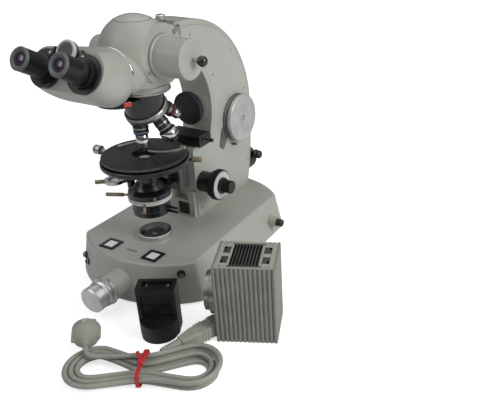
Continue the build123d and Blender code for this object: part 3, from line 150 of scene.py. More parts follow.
# Base casting, arm and head. They are sand-cast light alloy, filled, rubbed down and sprayed in a warm
# pale grey enamel that is faintly pebbled and a little darker where hands and dust have been.
def surface_grain():
    """Colour patches, fine specks and a pebbled height, read in the object's own space."""
    group = bpy.data.node_groups.new("surface_grain", "ShaderNodeTree")
    face = group.interface
    for name, kind, value in (("Colour", "NodeSocketColor", (0.5, 0.5, 0.5, 1)),
                              ("Patch Colour", "NodeSocketColor", (0.4, 0.4, 0.4, 1)),
                              ("Patch Scale", "NodeSocketFloat", 14.0), ("Speck Scale", "NodeSocketFloat", 900.0),
                              ("Roughness", "NodeSocketFloat", 0.4), ("Roughness Spread", "NodeSocketFloat", 0.1)):
        face.new_socket(name, in_out="INPUT", socket_type=kind).default_value = value
    for name, kind in (("Colour", "NodeSocketColor"), ("Roughness", "NodeSocketFloat"), ("Height", "NodeSocketFloat")):
        face.new_socket(name, in_out="OUTPUT", socket_type=kind)
    n, k = group.nodes, group.links
    given, out = n.new("NodeGroupInput"), n.new("NodeGroupOutput")
    place = n.new("ShaderNodeTexCoord")
    patches = n.new("ShaderNodeTexNoise")
    patches.inputs["Detail"].default_value = 5
    specks = n.new("ShaderNodeTexNoise")
    specks.inputs["Detail"].default_value = 2
    k.new(place.outputs["Object"], patches.inputs["Vector"])
    k.new(place.outputs["Object"], specks.inputs["Vector"])
    k.new(given.outputs["Patch Scale"], patches.inputs["Scale"])
    k.new(given.outputs["Speck Scale"], specks.inputs["Scale"])
    spread = n.new("ShaderNodeMapRange")
    spread.inputs["From Min"].default_value = 0.35
    spread.inputs["From Max"].default_value = 0.75
    k.new(patches.outputs["Fac"], spread.inputs["Value"])
    tint = n.new("ShaderNodeMix")
    tint.data_type = "RGBA"
    k.new(spread.outputs["Result"], tint.inputs["Factor"])
    k.new(given.outputs["Colour"], tint.inputs["A"])
    k.new(given.outputs["Patch Colour"], tint.inputs["B"])
    k.new(tint.outputs["Result"], out.inputs["Colour"])
    rough = n.new("ShaderNodeMath")
    rough.operation = "MULTIPLY_ADD"
    k.new(spread.outputs["Result"], rough.inputs[0])
    k.new(given.outputs["Roughness Spread"], rough.inputs[1])
    k.new(given.outputs["Roughness"], rough.inputs[2])
    k.new(rough.outputs["Value"], out.inputs["Roughness"])
    k.new(specks.outputs["Fac"], out.inputs["Height"])
    return group


grain = surface_grain()


def finish(name, colour, worn, rough, spread=0.1, patch=14, speck=900, pebble=0.02, metal=0.0, coat=0.0,
           coat_rough=0.1, sheen=0.0):
    """A finish of one kind of surface, with its patches, specks and pebbled height."""
    made = bpy.data.materials.new(name)
    made.use_nodes = True
    n, k = made.node_tree.nodes, made.node_tree.links
    shell = n["Principled BSDF"]
    shell.inputs["Metallic"].default_value = metal
    shell.inputs["Coat Weight"].default_value = coat
    shell.inputs["Coat Roughness"].default_value = coat_rough
    shell.inputs["Sheen Weight"].default_value = sheen
    mottle = n.new("ShaderNodeGroup")
    mottle.node_tree = grain
    mottle.name = "mottle"
    mottle.inputs["Colour"].default_value = (*colour, 1)
    mottle.inputs["Patch Colour"].default_value = (*worn, 1)
    mottle.inputs["Patch Scale"].default_value = patch
    mottle.inputs["Speck Scale"].default_value = speck
    mottle.inputs["Roughness"].default_value = rough
    mottle.inputs["Roughness Spread"].default_value = spread
    k.new(mottle.outputs["Colour"], shell.inputs["Base Color"])
    k.new(mottle.outputs["Roughness"], shell.inputs["Roughness"])
    relief = n.new("ShaderNodeBump")
    relief.name = "relief"
    relief.inputs["Strength"].default_value = pebble
    relief.inputs["Distance"].default_value = 0.001
    k.new(mottle.outputs["Height"], relief.inputs["Height"])
    k.new(relief.outputs["Normal"], shell.inputs["Normal"])
    return made


def dress(material, *names):
    """Give CAD pieces their finish."""
    for name in names:
        slots = node[name].material_slots
        for place in slots:
            place.material = material


enamel = finish("grey_enamel", (0.475, 0.485, 0.43), (0.43, 0.44, 0.39), 0.36, 0.10, 9, 700, 0.05, coat=0.25,
                coat_rough=0.25)
dress(enamel, "base_housing", "arm_casting", "head_housing", "binocular_body", "side_cylinder", "focus_bearings")
cap_enamel = finish("pale_enamel", (0.50, 0.51, 0.46), (0.46, 0.47, 0.42), 0.33, 0.08, 12, 700, 0.04, coat=0.3,
                    coat_rough=0.2)
dress(cap_enamel, "head_cap", "side_covers")

# Lead of the lamp housing. A pale grey round lead of two cores and earth in a soft sheath, wound into a
# flat hank of five turns by hand, pinched in the middle by a red rubber tie.
lead_radius = 0.0035
hank_centre = Vector((0.1395, -0.2075, 0))
hank_turn = radians(25)
loop_reach = 0.064
tracks = {"inner": 0.021, "middle": 0.029, "outer": 0.037}
slots = {"inner": 0.0036, "middle": 0.0111, "outer": 0.0186}
tie_offset = -0.006
layers = (0.0036, 0.0109, 0.0182)


def hank_point(along, across, height):
    """A point of the hank in the row frame."""
    x = hank_centre.x + along * cos(hank_turn) - across * sin(hank_turn)
    y = hank_centre.y + along * sin(hank_turn) + across * cos(hank_turn)
    return (x, y, height)


def run_across(along, side, track):
    """How far a strand lies from the hank's middle line: close together at the tie, apart at the ends."""
    share = min(max((abs(along) - 0.006) / 0.056, 0), 1)
    return side * (slots[track] * (1 - share) + tracks[track] * share) + tie_offset * (1 - share)


def loop_points(end, start_track, stop_track, height, loosen=0.0):
    """One end loop, turning left all the way, from one track to another."""
    points = []
    for step in range(7):
        share = step / 6
        radius = tracks[start_track] * (1 - share) + tracks[stop_track] * share
        angle = radians(90 + 180 * share) if end < 0 else radians(-90 + 180 * share)
        swell = loosen * sin(pi * share)
        points.append(hank_point(end * (loop_reach + swell) + radius * cos(angle), radius * sin(angle), height))
    return points


def run_points(side, track, start_height, stop_height, late=True):
    """A straight strand: upper ones run to the left and lower ones to the right."""
    stations = (0.044, 0.026, 0.008, -0.010, -0.028, -0.046)
    if side < 0:
        stations = (-0.046, -0.028, -0.010, 0.008, 0.026, 0.044)
    points = []
    for place, along in enumerate(stations):
        share = (0, 0, 0.1, 0.45, 0.85, 1)[place]
        points.append(hank_point(along, run_across(along, side, track),
                                 start_height + (stop_height - start_height) * share))
    return points


first, second, third = layers
route = [hank_point(0.0175, 0.0277, 0.012), hank_point(0.0088, 0.0197, 0.0095), hank_point(-0.008, 0.0198, 0.0050),
         hank_point(-0.026, 0.0235, first), hank_point(-0.045, 0.0300, first)]
route += loop_points(-1, "outer", "middle", first) + run_points(-1, "middle", first, first)
route += loop_points(1, "middle", "middle", first, 0.002) + run_points(1, "middle", first, first)
route += loop_points(-1, "middle", "inner", first) + run_points(-1, "inner", first, first)
route += loop_points(1, "inner", "inner", first) + run_points(1, "inner", first, second)
route += loop_points(-1, "inner", "inner", second) + run_points(-1, "inner", second, second)
route += loop_points(1, "inner", "middle", second) + run_points(1, "middle", second, second)
route += loop_points(-1, "middle", "middle", second) + run_points(-1, "middle", second, second)
route += loop_points(1, "middle", "outer", second) + run_points(1, "outer", second, second)
route += loop_points(-1, "outer", "outer", second) + run_points(-1, "outer", second, third)
route += loop_points(1, "outer", "outer", third) + run_points(1, "outer", third, third)[:4]
route += [hank_point(-0.038, 0.0110, 0.0184), hank_point(-0.056, 0.0105, 0.0186), hank_point(-0.0776, 0.0100, 0.0190),
          hank_point(-0.084, 0.0300, 0.0190)]
lead_curve = bpy.data.curves.new("lamp_lead", "CURVE")
lead_curve.dimensions = "3D"
lead_line = lead_curve.splines.new("NURBS")
lead_line.points.add(len(route) - 1)
for place, (x, y, z) in zip(lead_line.points, route):
    place.co = (x, y, z, 1)
lead_line.order_u = 3
lead_line.use_endpoint_u = True
lead_line.resolution_u = 6
lead_curve.bevel_depth = lead_radius
lead_curve.bevel_resolution = 4
lead_curve.use_fill_caps = True
lamp_lead = bpy.data.objects.new("lamp_lead", lead_curve)
bpy.context.scene.collection.objects.link(lamp_lead)
sheath = finish("lead_sheath", (0.40, 0.40, 0.345), (0.33, 0.33, 0.285), 0.48, 0.12, 30, 500, 0.08)
lead_curve.materials.append(sheath)
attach(lamp_lead, "lamp_house")
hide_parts("lead_hank")
lead_plastic = finish("moulded_grey", (0.42, 0.42, 0.36), (0.36, 0.36, 0.31), 0.42, 0.1, 40, 900, 0.04)
dress(lead_plastic, "mains_coupler", "mains_plug")

# Rubber tie of the hank. A red moulded strap pulled tight round the waist of the hank, with its two
# free ends standing off beside the knot.
tie_red = finish("tie_rubber", (0.62, 0.03, 0.03), (0.50, 0.02, 0.02), 0.45, 0.1, 60, 800, 0.1)
tie_form = bmesh.new()
tie_wide = 0.0055
tie_low, tie_high = 0.0004, 0.0228
tie_left, tie_right = -0.0290, 0.0245
tie_ring = []
for step in range(28):
    angle = 2 * pi * step / 28
    across = (tie_left + tie_right) / 2 + (tie_right - tie_left) / 2 * min(max(1.25 * cos(angle), -1), 1)
    high = (tie_low + tie_high) / 2 + (tie_high - tie_low) / 2 * min(max(1.25 * sin(angle), -1), 1)
    tie_ring.append(tie_form.verts.new(hank_point(-tie_wide / 2, across, high)))
tie_edges = [tie_form.edges.new((tie_ring[k], tie_ring[(k + 1) % 28])) for k in range(28)]
tie_swept = bmesh.ops.extrude_edge_only(tie_form, edges=tie_edges)["geom"]
tie_moved = [v for v in tie_swept if isinstance(v, bmesh.types.BMVert)]
tie_way = Vector(hank_point(tie_wide, 0, 0)) - Vector(hank_point(0, 0, 0))
bmesh.ops.translate(tie_form, verts=tie_moved, vec=tie_way)
bmesh.ops.recalc_face_normals(tie_form, faces=tie_form.faces)
bmesh.ops.solidify(tie_form, geom=tie_form.faces, thickness=0.0009)
for lean, long in ((0.5, 0.020), (-0.35, 0.017)):
    tail = bmesh.ops.create_cube(tie_form, size=1)["verts"]
    bmesh.ops.scale(tie_form, verts=tail, vec=(long, 0.0045, 0.0016))
    bmesh.ops.translate(tie_form, verts=tail, vec=(long / 2, 0, 0))
    bmesh.ops.rotate(tie_form, verts=tail, cent=(0, 0, 0), matrix=Matrix.Rotation(hank_turn + pi / 2 + lean, 3, "Z"))
    bmesh.ops.rotate(tie_form, verts=tail, cent=(0, 0, 0), matrix=Matrix.Rotation(0.10, 3, "X"))
    bmesh.ops.translate(tie_form, verts=tail, vec=hank_point(0, -0.004, tie_high + 0.0012))
knot = bmesh.ops.create_icosphere(tie_form, subdivisions=2, radius=0.0045)["verts"]
bmesh.ops.scale(tie_form, verts=knot, vec=(1.2, 1, 0.6))
bmesh.ops.translate(tie_form, verts=knot, vec=hank_point(0, -0.004, tie_high + 0.0010))
tie_mesh = bpy.data.meshes.new("lead_tie")
tie_form.to_mesh(tie_mesh)
tie_form.free()
lead_tie = bpy.data.objects.new("lead_tie", tie_mesh)
bpy.context.scene.collection.objects.link(lead_tie)
tie_mesh.materials.append(tie_red)
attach(lead_tie, "lamp_house")


# Black and bright metal of the fittings. Most are turned, so fine rings run round their axes; grips are
# knurled, and the black ones are lacquered or anodised.
def turning_marks():
    """Fine rings round the Z axis of the given vector, as a height and a change of roughness."""
    group = bpy.data.node_groups.new("turning_marks", "ShaderNodeTree")
    face = group.interface
    face.new_socket("Vector", in_out="INPUT", socket_type="NodeSocketVector")
    face.new_socket("Rings", in_out="INPUT", socket_type="NodeSocketFloat").default_value = 900
    face.new_socket("Roughness", in_out="INPUT", socket_type="NodeSocketFloat").default_value = 0.3
    face.new_socket("Roughness", in_out="OUTPUT", socket_type="NodeSocketFloat")
    face.new_socket("Height", in_out="OUTPUT", socket_type="NodeSocketFloat")
    n, k = group.nodes, group.links
    given, out = n.new("NodeGroupInput"), n.new("NodeGroupOutput")
    parts = n.new("ShaderNodeSeparateXYZ")
    k.new(given.outputs["Vector"], parts.inputs["Vector"])
    flat = n.new("ShaderNodeCombineXYZ")
    k.new(parts.outputs["X"], flat.inputs["X"])
    k.new(parts.outputs["Y"], flat.inputs["Y"])
    far = n.new("ShaderNodeVectorMath")
    far.operation = "LENGTH"
    k.new(flat.outputs["Vector"], far.inputs[0])
    line = n.new("ShaderNodeCombineXYZ")
    k.new(far.outputs["Value"], line.inputs["X"])
    k.new(parts.outputs["Z"], line.inputs["Y"])
    rings = n.new("ShaderNodeTexNoise")
    rings.inputs["Detail"].default_value = 3
    k.new(line.outputs["Vector"], rings.inputs["Vector"])
    k.new(given.outputs["Rings"], rings.inputs["Scale"])
    rough = n.new("ShaderNodeMath")
    rough.operation = "MULTIPLY_ADD"
    rough.inputs[1].default_value = 0.22
    k.new(rings.outputs["Fac"], rough.inputs[0])
    k.new(given.outputs["Roughness"], rough.inputs[2])
    k.new(rough.outputs["Value"], out.inputs["Roughness"])
    k.new(rings.outputs["Fac"], out.inputs["Height"])
    return group


def grip_teeth():
    """Straight ribs round the Z axis of the given vector, on the steep sides only where asked."""
    group = bpy.data.node_groups.new("grip_teeth", "ShaderNodeTree")
    face = group.interface
    face.new_socket("Vector", in_out="INPUT", socket_type="NodeSocketVector")
    face.new_socket("Count", in_out="INPUT", socket_type="NodeSocketFloat").default_value = 60
    face.new_socket("Inner Radius", in_out="INPUT", socket_type="NodeSocketFloat").default_value = 0.01
    face.new_socket("Height", in_out="OUTPUT", socket_type="NodeSocketFloat")
    n, k = group.nodes, group.links
    given, out = n.new("NodeGroupInput"), n.new("NodeGroupOutput")
    parts = n.new("ShaderNodeSeparateXYZ")
    k.new(given.outputs["Vector"], parts.inputs["Vector"])
    angle = n.new("ShaderNodeMath")
    angle.operation = "ARCTAN2"
    k.new(parts.outputs["Y"], angle.inputs[0])
    k.new(parts.outputs["X"], angle.inputs[1])
    many = n.new("ShaderNodeMath")
    many.operation = "MULTIPLY"
    k.new(angle.outputs["Value"], many.inputs[0])
    k.new(given.outputs["Count"], many.inputs[1])
    wave = n.new("ShaderNodeMath")
    wave.operation = "SINE"
    k.new(many.outputs["Value"], wave.inputs[0])
    flat = n.new("ShaderNodeCombineXYZ")
    k.new(parts.outputs["X"], flat.inputs["X"])
    k.new(parts.outputs["Y"], flat.inputs["Y"])
    far = n.new("ShaderNodeVectorMath")
    far.operation = "LENGTH"
    k.new(flat.outputs["Vector"], far.inputs[0])
    rim = n.new("ShaderNodeMath")
    rim.operation = "GREATER_THAN"
    k.new(far.outputs["Value"], rim.inputs[0])
    k.new(given.outputs["Inner Radius"], rim.inputs[1])
    kept = n.new("ShaderNodeMath")
    kept.operation = "MULTIPLY"
    k.new(wave.outputs["Value"], kept.inputs[0])
    k.new(rim.outputs["Value"], kept.inputs[1])
    k.new(kept.outputs["Value"], out.inputs["Height"])
    return group


marks = turning_marks()
teeth = grip_teeth()


def turned(name, colour, rough, centre, axis, metal=0.0, rings=1500, grip=0, rim=0.0, depth=0.25, grip_depth=0.8,
           coat=0.0, worn=None):
    """A turned finish with rings round an axis, and a knurled rim where a grip count is given."""
    made = finish(name, colour, worn or tuple(c * 0.8 for c in colour), rough, 0.08, 60, 1500, 0.02, metal, coat)
    n, k = made.node_tree.nodes, made.node_tree.links
    shell = n["Principled BSDF"]
    place = n.new("ShaderNodeTexCoord")
    centred = n.new("ShaderNodeMapping")
    centred.vector_type = "TEXTURE"
    centred.inputs["Location"].default_value = centre
    centred.inputs["Rotation"].default_value = Vector(axis).to_track_quat("Z", "Y").to_euler()
    k.new(place.outputs["Object"], centred.inputs["Vector"])
    ring = n.new("ShaderNodeGroup")
    ring.node_tree = marks
    ring.inputs["Rings"].default_value = rings
    ring.inputs["Roughness"].default_value = rough
    k.new(centred.outputs["Vector"], ring.inputs["Vector"])
    k.new(ring.outputs["Roughness"], shell.inputs["Roughness"])
    lathe = n.new("ShaderNodeBump")
    lathe.inputs["Strength"].default_value = depth
    lathe.inputs["Distance"].default_value = 0.0002
    k.new(ring.outputs["Height"], lathe.inputs["Height"])
    k.new(n["relief"].outputs["Normal"], lathe.inputs["Normal"])
    last = lathe
    if grip:
        ribs = n.new("ShaderNodeGroup")
        ribs.node_tree = teeth
        ribs.inputs["Count"].default_value = grip
        ribs.inputs["Inner Radius"].default_value = rim
        k.new(centred.outputs["Vector"], ribs.inputs["Vector"])
        pressed = n.new("ShaderNodeBump")
        pressed.inputs["Strength"].default_value = grip_depth
        pressed.inputs["Distance"].default_value = 0.0008
        k.new(ribs.outputs["Height"], pressed.inputs["Height"])
        k.new(lathe.outputs["Normal"], pressed.inputs["Normal"])
        last = pressed
    k.new(last.outputs["Normal"], shell.inputs["Normal"])
    return made


black_colour = (0.005, 0.006, 0.006)
satin_black = finish("satin_black", (0.010, 0.011, 0.010), (0.018, 0.019, 0.018), 0.36, 0.12, 40, 1200, 0.05)
gloss_black = finish("gloss_black", black_colour, (0.010, 0.011, 0.010), 0.14, 0.08, 30, 900, 0.01, coat=0.5,
                     coat_rough=0.05)
bright_steel = finish("bright_steel", (0.66, 0.66, 0.64), (0.55, 0.55, 0.53), 0.18, 0.1, 50, 1500, 0.02, metal=1.0)
rubber = finish("foot_rubber", (0.02, 0.02, 0.02), (0.03, 0.03, 0.03), 0.75, 0.1, 50, 1200, 0.2)
sheet_paint = finish("sheet_paint", (0.2, 0.2, 0.2), (0.16, 0.16, 0.16), 0.5, 0.1, 20, 900, 0.05)
dress(satin_black, "base_fittings", "front_tube", "guide_block", "slider_housing", "selector_drum", "rear_mount",
      "filter_slider", "left_carrier", "right_carrier", "stage_bracket", "side_knob", "rear_knob")
dress(gloss_black, "nosepiece_housing", "condenser_bracket", "condenser_body")
dress(bright_steel, "clamp_band", "beam_rod", "swing_lens")
dress(rubber, "rubber_feet")
dress(sheet_paint, "base_plate")


# Small turned and moulded details. Each is one object of its own, with its place in its mesh, and rides
# on the body that carries it.
def drop(name, form, material, body, smooth=False):
    """Make one object of a finished form and let it ride on a body."""
    bmesh.ops.recalc_face_normals(form, faces=form.faces)
    mesh = bpy.data.meshes.new(name)
    form.to_mesh(mesh)
    form.free()
    for face in mesh.polygons:
        face.use_smooth = smooth
    mesh.materials.append(material)
    made = bpy.data.objects.new(name, mesh)
    bpy.context.scene.collection.objects.link(made)
    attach(made, body)
    return made


def frame_of(place, axis, turn_by=0.0):
    """The matrix that puts local Z on an axis at a place."""
    turn = Vector(axis).to_track_quat("Z", "Y").to_matrix().to_4x4()
    return Matrix.Translation(place) @ turn @ Matrix.Rotation(turn_by, 4, "Z")


def add_turned(form, place, axis, outline, around=48, sweep=2 * pi, start=0.0):
    """Turn a line of (radius, height) points about an axis into the form."""
    grid = []
    stay = frame_of(place, axis)
    closed = abs(sweep - 2 * pi) < 1e-6
    count = around if closed else around + 1
    for step in range(count):
        angle = start + sweep * step / around
        grid.append([form.verts.new(stay @ Vector((r * cos(angle), r * sin(angle), h))) for r, h in outline])
    for step in range(around):
        near, far = grid[step], grid[(step + 1) % count]
        for k in range(len(outline) - 1):
            form.faces.new((near[k], near[k + 1], far[k + 1], far[k]))
    bmesh.ops.remove_doubles(form, verts=form.verts, dist=1e-6)


def add_block(form, place, axis, size, turn_by=0.0, bevel=0.0):
    """Add a box whose local Z lies on an axis, with rounded edges where a bevel is given."""
    made = bmesh.ops.create_cube(form, size=1)["verts"]
    bmesh.ops.scale(form, verts=made, vec=size)
    bmesh.ops.transform(form, verts=made, matrix=frame_of(place, axis, turn_by))
    if bevel:
        edges = list({e for v in made for e in v.link_edges})
        bmesh.ops.bevel(form, geom=edges, offset=bevel, segments=2, profile=0.5, affect="EDGES", material=-1)


def add_screw(form, place, axis, radius, high=0.0008, turn_by=0.6):
    """A slotted cheese-head screw."""
    slot = radius * 0.16
    stay = frame_of(place, axis, turn_by)
    for side in (-1, 1):
        limit = atan2(slot, sqrt(radius ** 2 - slot ** 2))
        arc = [(radius * cos(limit + (pi - 2 * limit) * k / 12), side * radius * sin(limit + (pi - 2 * limit) * k / 12))
               for k in range(13)]
        low = [form.verts.new(stay @ Vector((x, y, 0))) for x, y in arc]
        top = [form.verts.new(stay @ Vector((x, y, high))) for x, y in arc]
        form.faces.new(top)
        for k in range(12):
            form.faces.new((low[k], low[k + 1], top[k + 1], top[k]))
        form.faces.new((low[12], low[0], top[0], top[12]))
    floor = [form.verts.new(stay @ Vector((radius * cos(2 * pi * k / 24), radius * sin(2 * pi * k / 24), high * 0.25)))
             for k in range(24)]
    form.faces.new(floor)


chrome = finish("polished_chrome", (0.78, 0.78, 0.78), (0.70, 0.70, 0.70), 0.06, 0.06, 40, 900, 0.005, metal=1.0)
seam_black = finish("seam_black", (0.01, 0.01, 0.01), (0.02, 0.02, 0.02), 0.6, 0.1, 40, 900, 0.02)
# White for printed scales and marks; the stage ring's edge arcs use it as painted highlights.
white_print_and_highlight = finish("scale_white_and_highlight", (0.72, 0.72, 0.70), (0.62, 0.62, 0.60), 0.45, 0.1, 60, 900, 0.02)
steel_screw = finish("screw_steel", (0.58, 0.58, 0.57), (0.45, 0.45, 0.44), 0.25, 0.15, 200, 2500, 0.05, metal=1.0)

# Bottom mirror, field lens and field ring. The lens is polished glass over a silvered mirror; the ring is
# pale and ribbed outside, and black inside its upper rim.
silvered = finish("silvered_glass", (0.85, 0.86, 0.88), (0.80, 0.81, 0.83), 0.03, 0.03, 20, 900, 0.0, metal=1.0)
dress(silvered, "base_mirror")


def glass(name, tint, rough=0.01, clear=1.0, ior=1.52):
    """Polished glass with a slightly uneven coating."""
    made = finish(name, tint, tuple(c * 0.9 for c in tint), rough, 0.02, 40, 600, 0.002, coat=0.4, coat_rough=0.02)
    shell = made.node_tree.nodes["Principled BSDF"]
    shell.inputs["Transmission Weight"].default_value = clear
    shell.inputs["IOR"].default_value = ior
    return made


field_glass = glass("field_glass", (0.80, 0.86, 0.90), clear=0.9)
dress(field_glass, "field_lens")
ring_metal = turned("field_ring_metal", (0.62, 0.62, 0.60), 0.30, (0, 0, 0), (0, 0, 1), metal=0.9, rings=1800,
                    grip=40, rim=0.0255, grip_depth=0.35)
dress(ring_metal, "field_ring")
ring_top = bmesh.new()
add_turned(ring_top, (0, 0, 0.066), (0, 0, 1), [(0.0152, 0.0052), (0.0234, 0.00808), (0.0248, 0.00812),
                                                 (0.0248, 0.0078)], 64)
drop("field_ring_rim", ring_top, gloss_black, "field_ring", True)
iris = bmesh.new()
add_turned(iris, (0, 0, 0.066), (0, 0, 1), [(0.0058, 0.0023), (0.0100, 0.0026), (0.0148, 0.0034)], 24)
drop("field_iris", iris, seam_black, "stand", False)

# Push buttons. Milky windows under their black frames, given a faint painted glow.
milky = finish("milky_window", (0.80, 0.82, 0.82), (0.70, 0.73, 0.74), 0.2, 0.1, 60, 900, 0.01, coat=0.5)
milky_shell = milky.node_tree.nodes["Principled BSDF"]
# Painted glow: a faint emission brightens the windows.
milky_shell.inputs["Emission Color"].default_value = (1, 1, 0.97, 1)
milky_shell.inputs["Emission Strength"].default_value = 0.12
milky_shell.inputs["Subsurface Weight"].default_value = 0.3
milky_shell.inputs["Subsurface Radius"].default_value = (0.004, 0.004, 0.004)
dress(milky, "left_button", "right_button")
frames = bmesh.new()
for side in (-1, 1):
    for along in (-1, 1):
        add_block(frames, (side * 0.0406 + along * 0.0107, -0.056, 0.0683), (0, 0, 1), (0.0030, 0.0244, 0.0006),
                  0, 0.0002)
        add_block(frames, (side * 0.0406, -0.056 + along * 0.0107, 0.0683), (0, 0, 1), (0.0184, 0.0030, 0.0006),
                  0, 0.0002)
drop("button_rims", frames, gloss_black, "stand")
marks_form = bmesh.new()
for step in range(6):
    add_block(marks_form, (-0.0085 + 0.0034 * step, -0.0565, 0.0661), (0, 0, 1), (0.0010, 0.0050, 0.0003), -0.35)
drop("base_ticks", marks_form, seam_black, "stand")

# Front control. Bright turned rings, a drum with a fine scale and a satin end disc; its tube is enamelled.
dress(enamel, "front_tube")
drum_metal = turned("drum_metal", (0.82, 0.82, 0.80), 0.30, (0, 0, 0.032), (0, -1, 0), metal=1.0, rings=2200)
dress(drum_metal, "front_knob")
scale_form = bmesh.new()
for step in range(60):
    angle = 2 * pi * step / 60
    long = 0.0045 if step % 5 == 0 else 0.0026
    out = Vector((cos(angle), 0, sin(angle)))
    add_block(scale_form, Vector((0, -0.1335 - long / 2, 0.032)) + out * 0.01955, out, (0.0004, long, 0.0002))
drop("front_scale", scale_form, seam_black, "front_knob")
grip_form = bmesh.new()
for step in range(90):
    angle = 2 * pi * step / 90
    out = Vector((cos(angle), 0, sin(angle)))
    add_block(grip_form, Vector((0, -0.1208, 0.032)) + out * 0.02255, out, (0.0009, 0.0026, 0.0008), 0)
drop("front_grip", grip_form, chrome, "front_knob")

# Fittings on the front arc. A bright locking screw in a black ring on the right, and two black sockets
# with pale rims on the left.
fittings = bmesh.new()
screw_way = (0.58, -0.81, 0)
screw_place = Vector((0.092, -0.0583, 0.051)) + Vector(screw_way).normalized() * 0.0025
add_screw(fittings, screw_place, screw_way, 0.0038, 0.0022, 0.9)
drop("locking_screw", fittings, steel_screw, "stand")
socket_rims = bmesh.new()
for x, y, z in ((-0.097, -0.0595, 0.034), (-0.0855, -0.0675, 0.029)):
    way = Vector((x, y - 0.070, 0)).normalized()
    add_turned(socket_rims, Vector((x, y, z)) + way * 0.0020, way,
               [(0.0036, 0.0002), (0.0036, 0.0006), (0.0053, 0.0006), (0.0055, 0.0)], 32)
drop("socket_rims", socket_rims, chrome, "stand", True)

# Focus drive. The bearings and knobs are black; the coarse knobs have a knurled rim and a white scale
# face, and the fine knobs a fluted grip.
drive_black = turned("drive_black", (0.014, 0.014, 0.015), 0.34, (0, 0.097, 0.124), (1, 0, 0), rings=2200, grip=110,
                     rim=0.0240, grip_depth=0.7)
fine_black = turned("fine_black", (0.014, 0.013, 0.012), 0.30, (0, 0.097, 0.124), (1, 0, 0), rings=2600, grip=52,
                    rim=0.0098, grip_depth=0.8)
dress(satin_black, "focus_bearings")
dress(drive_black, "coarse_focus")
dress(fine_black, "fine_focus")
coarse_grip = bmesh.new()
for side in (-1, 1):
    for step in range(80):
        angle = 2 * pi * step / 80
        out = Vector((0, cos(angle), sin(angle)))
        add_block(coarse_grip, Vector((side * 0.0608, 0.097, 0.124)) + out * 0.02505, out, (0.0082, 0.0011, 0.0010))
drop("coarse_grip", coarse_grip, drive_black, "coarse_focus")
coarse_scale = bmesh.new()
for side in (-1, 1):
    add_turned(coarse_scale, (side * 0.0663, 0.097, 0.124), (side, 0, 0),
               [(0.0135, 0.0), (0.0135, 0.00025), (0.0228, 0.00025), (0.0230, 0.0)], 64)
drop("coarse_scale", coarse_scale, white_print_and_highlight, "coarse_focus")
coarse_ticks = bmesh.new()
for side in (-1, 1):
    for step in range(50):
        angle = 2 * pi * step / 50
        long = 0.0030 if step % 5 == 0 else 0.0018
        out = Vector((0, cos(angle), sin(angle)))
        spot = Vector((side * 0.06658, 0.097, 0.124)) + out * (0.0224 - long / 2)
        matrix = frame_of(spot, (side, 0, 0))
        tick = bmesh.ops.create_cube(coarse_ticks, size=1)["verts"]
        bmesh.ops.scale(coarse_ticks, verts=tick, vec=(0.0001, 0.0003, long))
        bmesh.ops.rotate(coarse_ticks, verts=tick, cent=(0, 0, 0), matrix=Matrix.Rotation(pi / 2 - angle, 3, "X"))
        bmesh.ops.translate(coarse_ticks, verts=tick, vec=spot)
drop("coarse_ticks", coarse_ticks, seam_black, "coarse_focus")
fine_grip = bmesh.new()
for side in (-1, 1):
    for step in range(40):
        angle = 2 * pi * step / 40
        out = Vector((0, cos(angle), sin(angle)))
        add_block(fine_grip, Vector((side * 0.0795, 0.097, 0.124)) + out * 0.01025, out, (0.0120, 0.0008, 0.0007))
drop("fine_grip", fine_grip, fine_black, "fine_focus")

# Arm. The covers are held by small screws.
arm_screws = bmesh.new()
for y, z in ((0.100, 0.362), (0.205, 0.318), (0.240, 0.245), (0.238, 0.110), (0.092, 0.078), (0.150, 0.290)):
    add_screw(arm_screws, (0.0281, y, z), (1, 0, 0), 0.0018, 0.0004, y * 9)
    add_screw(arm_screws, (-0.0281, y, z), (-1, 0, 0), 0.0018, 0.0004, y * 7)
drop("cover_screws", arm_screws, steel_screw, "stand")

# Port in the arm. A polished chrome barrel under a black moulded cap with a grained face.
cap_black = turned("cap_black", (0.009, 0.011, 0.014), 0.34, (0, 0.11, 0.24), (0, -1, 0), rings=700, grip=70,
                   rim=0.0255, grip_depth=0.5)
dress(cap_black, "port_cap")
dress(chrome, "port_barrel", "clamp_screw")
ring_steel = turned("ring_steel", (0.42, 0.42, 0.405), 0.16, (0, 0.014, 0.3), (0, 0, 1), metal=1.0, rings=700)
dress(ring_steel, "changer_ring")

# Selector. Ring-brushed aluminium with a finger slot, on a black drum with a pale engraved edge.
disc_face = turned("disc_aluminium", (0.72, 0.72, 0.70), 0.34, (0.04, 0.2075, 0.201), (1, 0, 0), metal=0.75, rings=2600)
dress(disc_face, "selector_disc")
drum_grey = turned("drum_grey", (0.20, 0.20, 0.195), 0.34, (0.04, 0.2075, 0.201), (1, 0, 0), metal=0.6, rings=1500)
dress(drum_grey, "selector_drum")
slot_form = bmesh.new()
add_turned(slot_form, (0.0440, 0.2075, 0.201), (1, 0, 0), [(0.0, 0.0), (0.0034, 0.0001), (0.0036, -0.0002)], 32)
drop("disc_screw", slot_form, steel_screw, "selector_disc", True)
slot_line = bmesh.new()
add_turned(slot_line, (0.0440, 0.2075, 0.201), (1, 0, 0), [(0.0056, -0.0003), (0.0060, 0.00015), (0.0064, -0.0003)], 40,
           pi * 1.1, 0.5)
drop("disc_slot", slot_line, seam_black, "selector_disc", True)
drum_ticks = bmesh.new()
for step in range(48):
    angle = 2 * pi * step / 48
    long = 0.0026 if step % 4 == 0 else 0.0015
    out = Vector((0, cos(angle), sin(angle)))
    add_block(drum_ticks, Vector((0.0290 + long / 2, 0.2075, 0.201)) + out * 0.04105, out, (long, 0.0004, 0.0001))
drop("drum_ticks", drum_ticks, white_print_and_highlight, "stand")

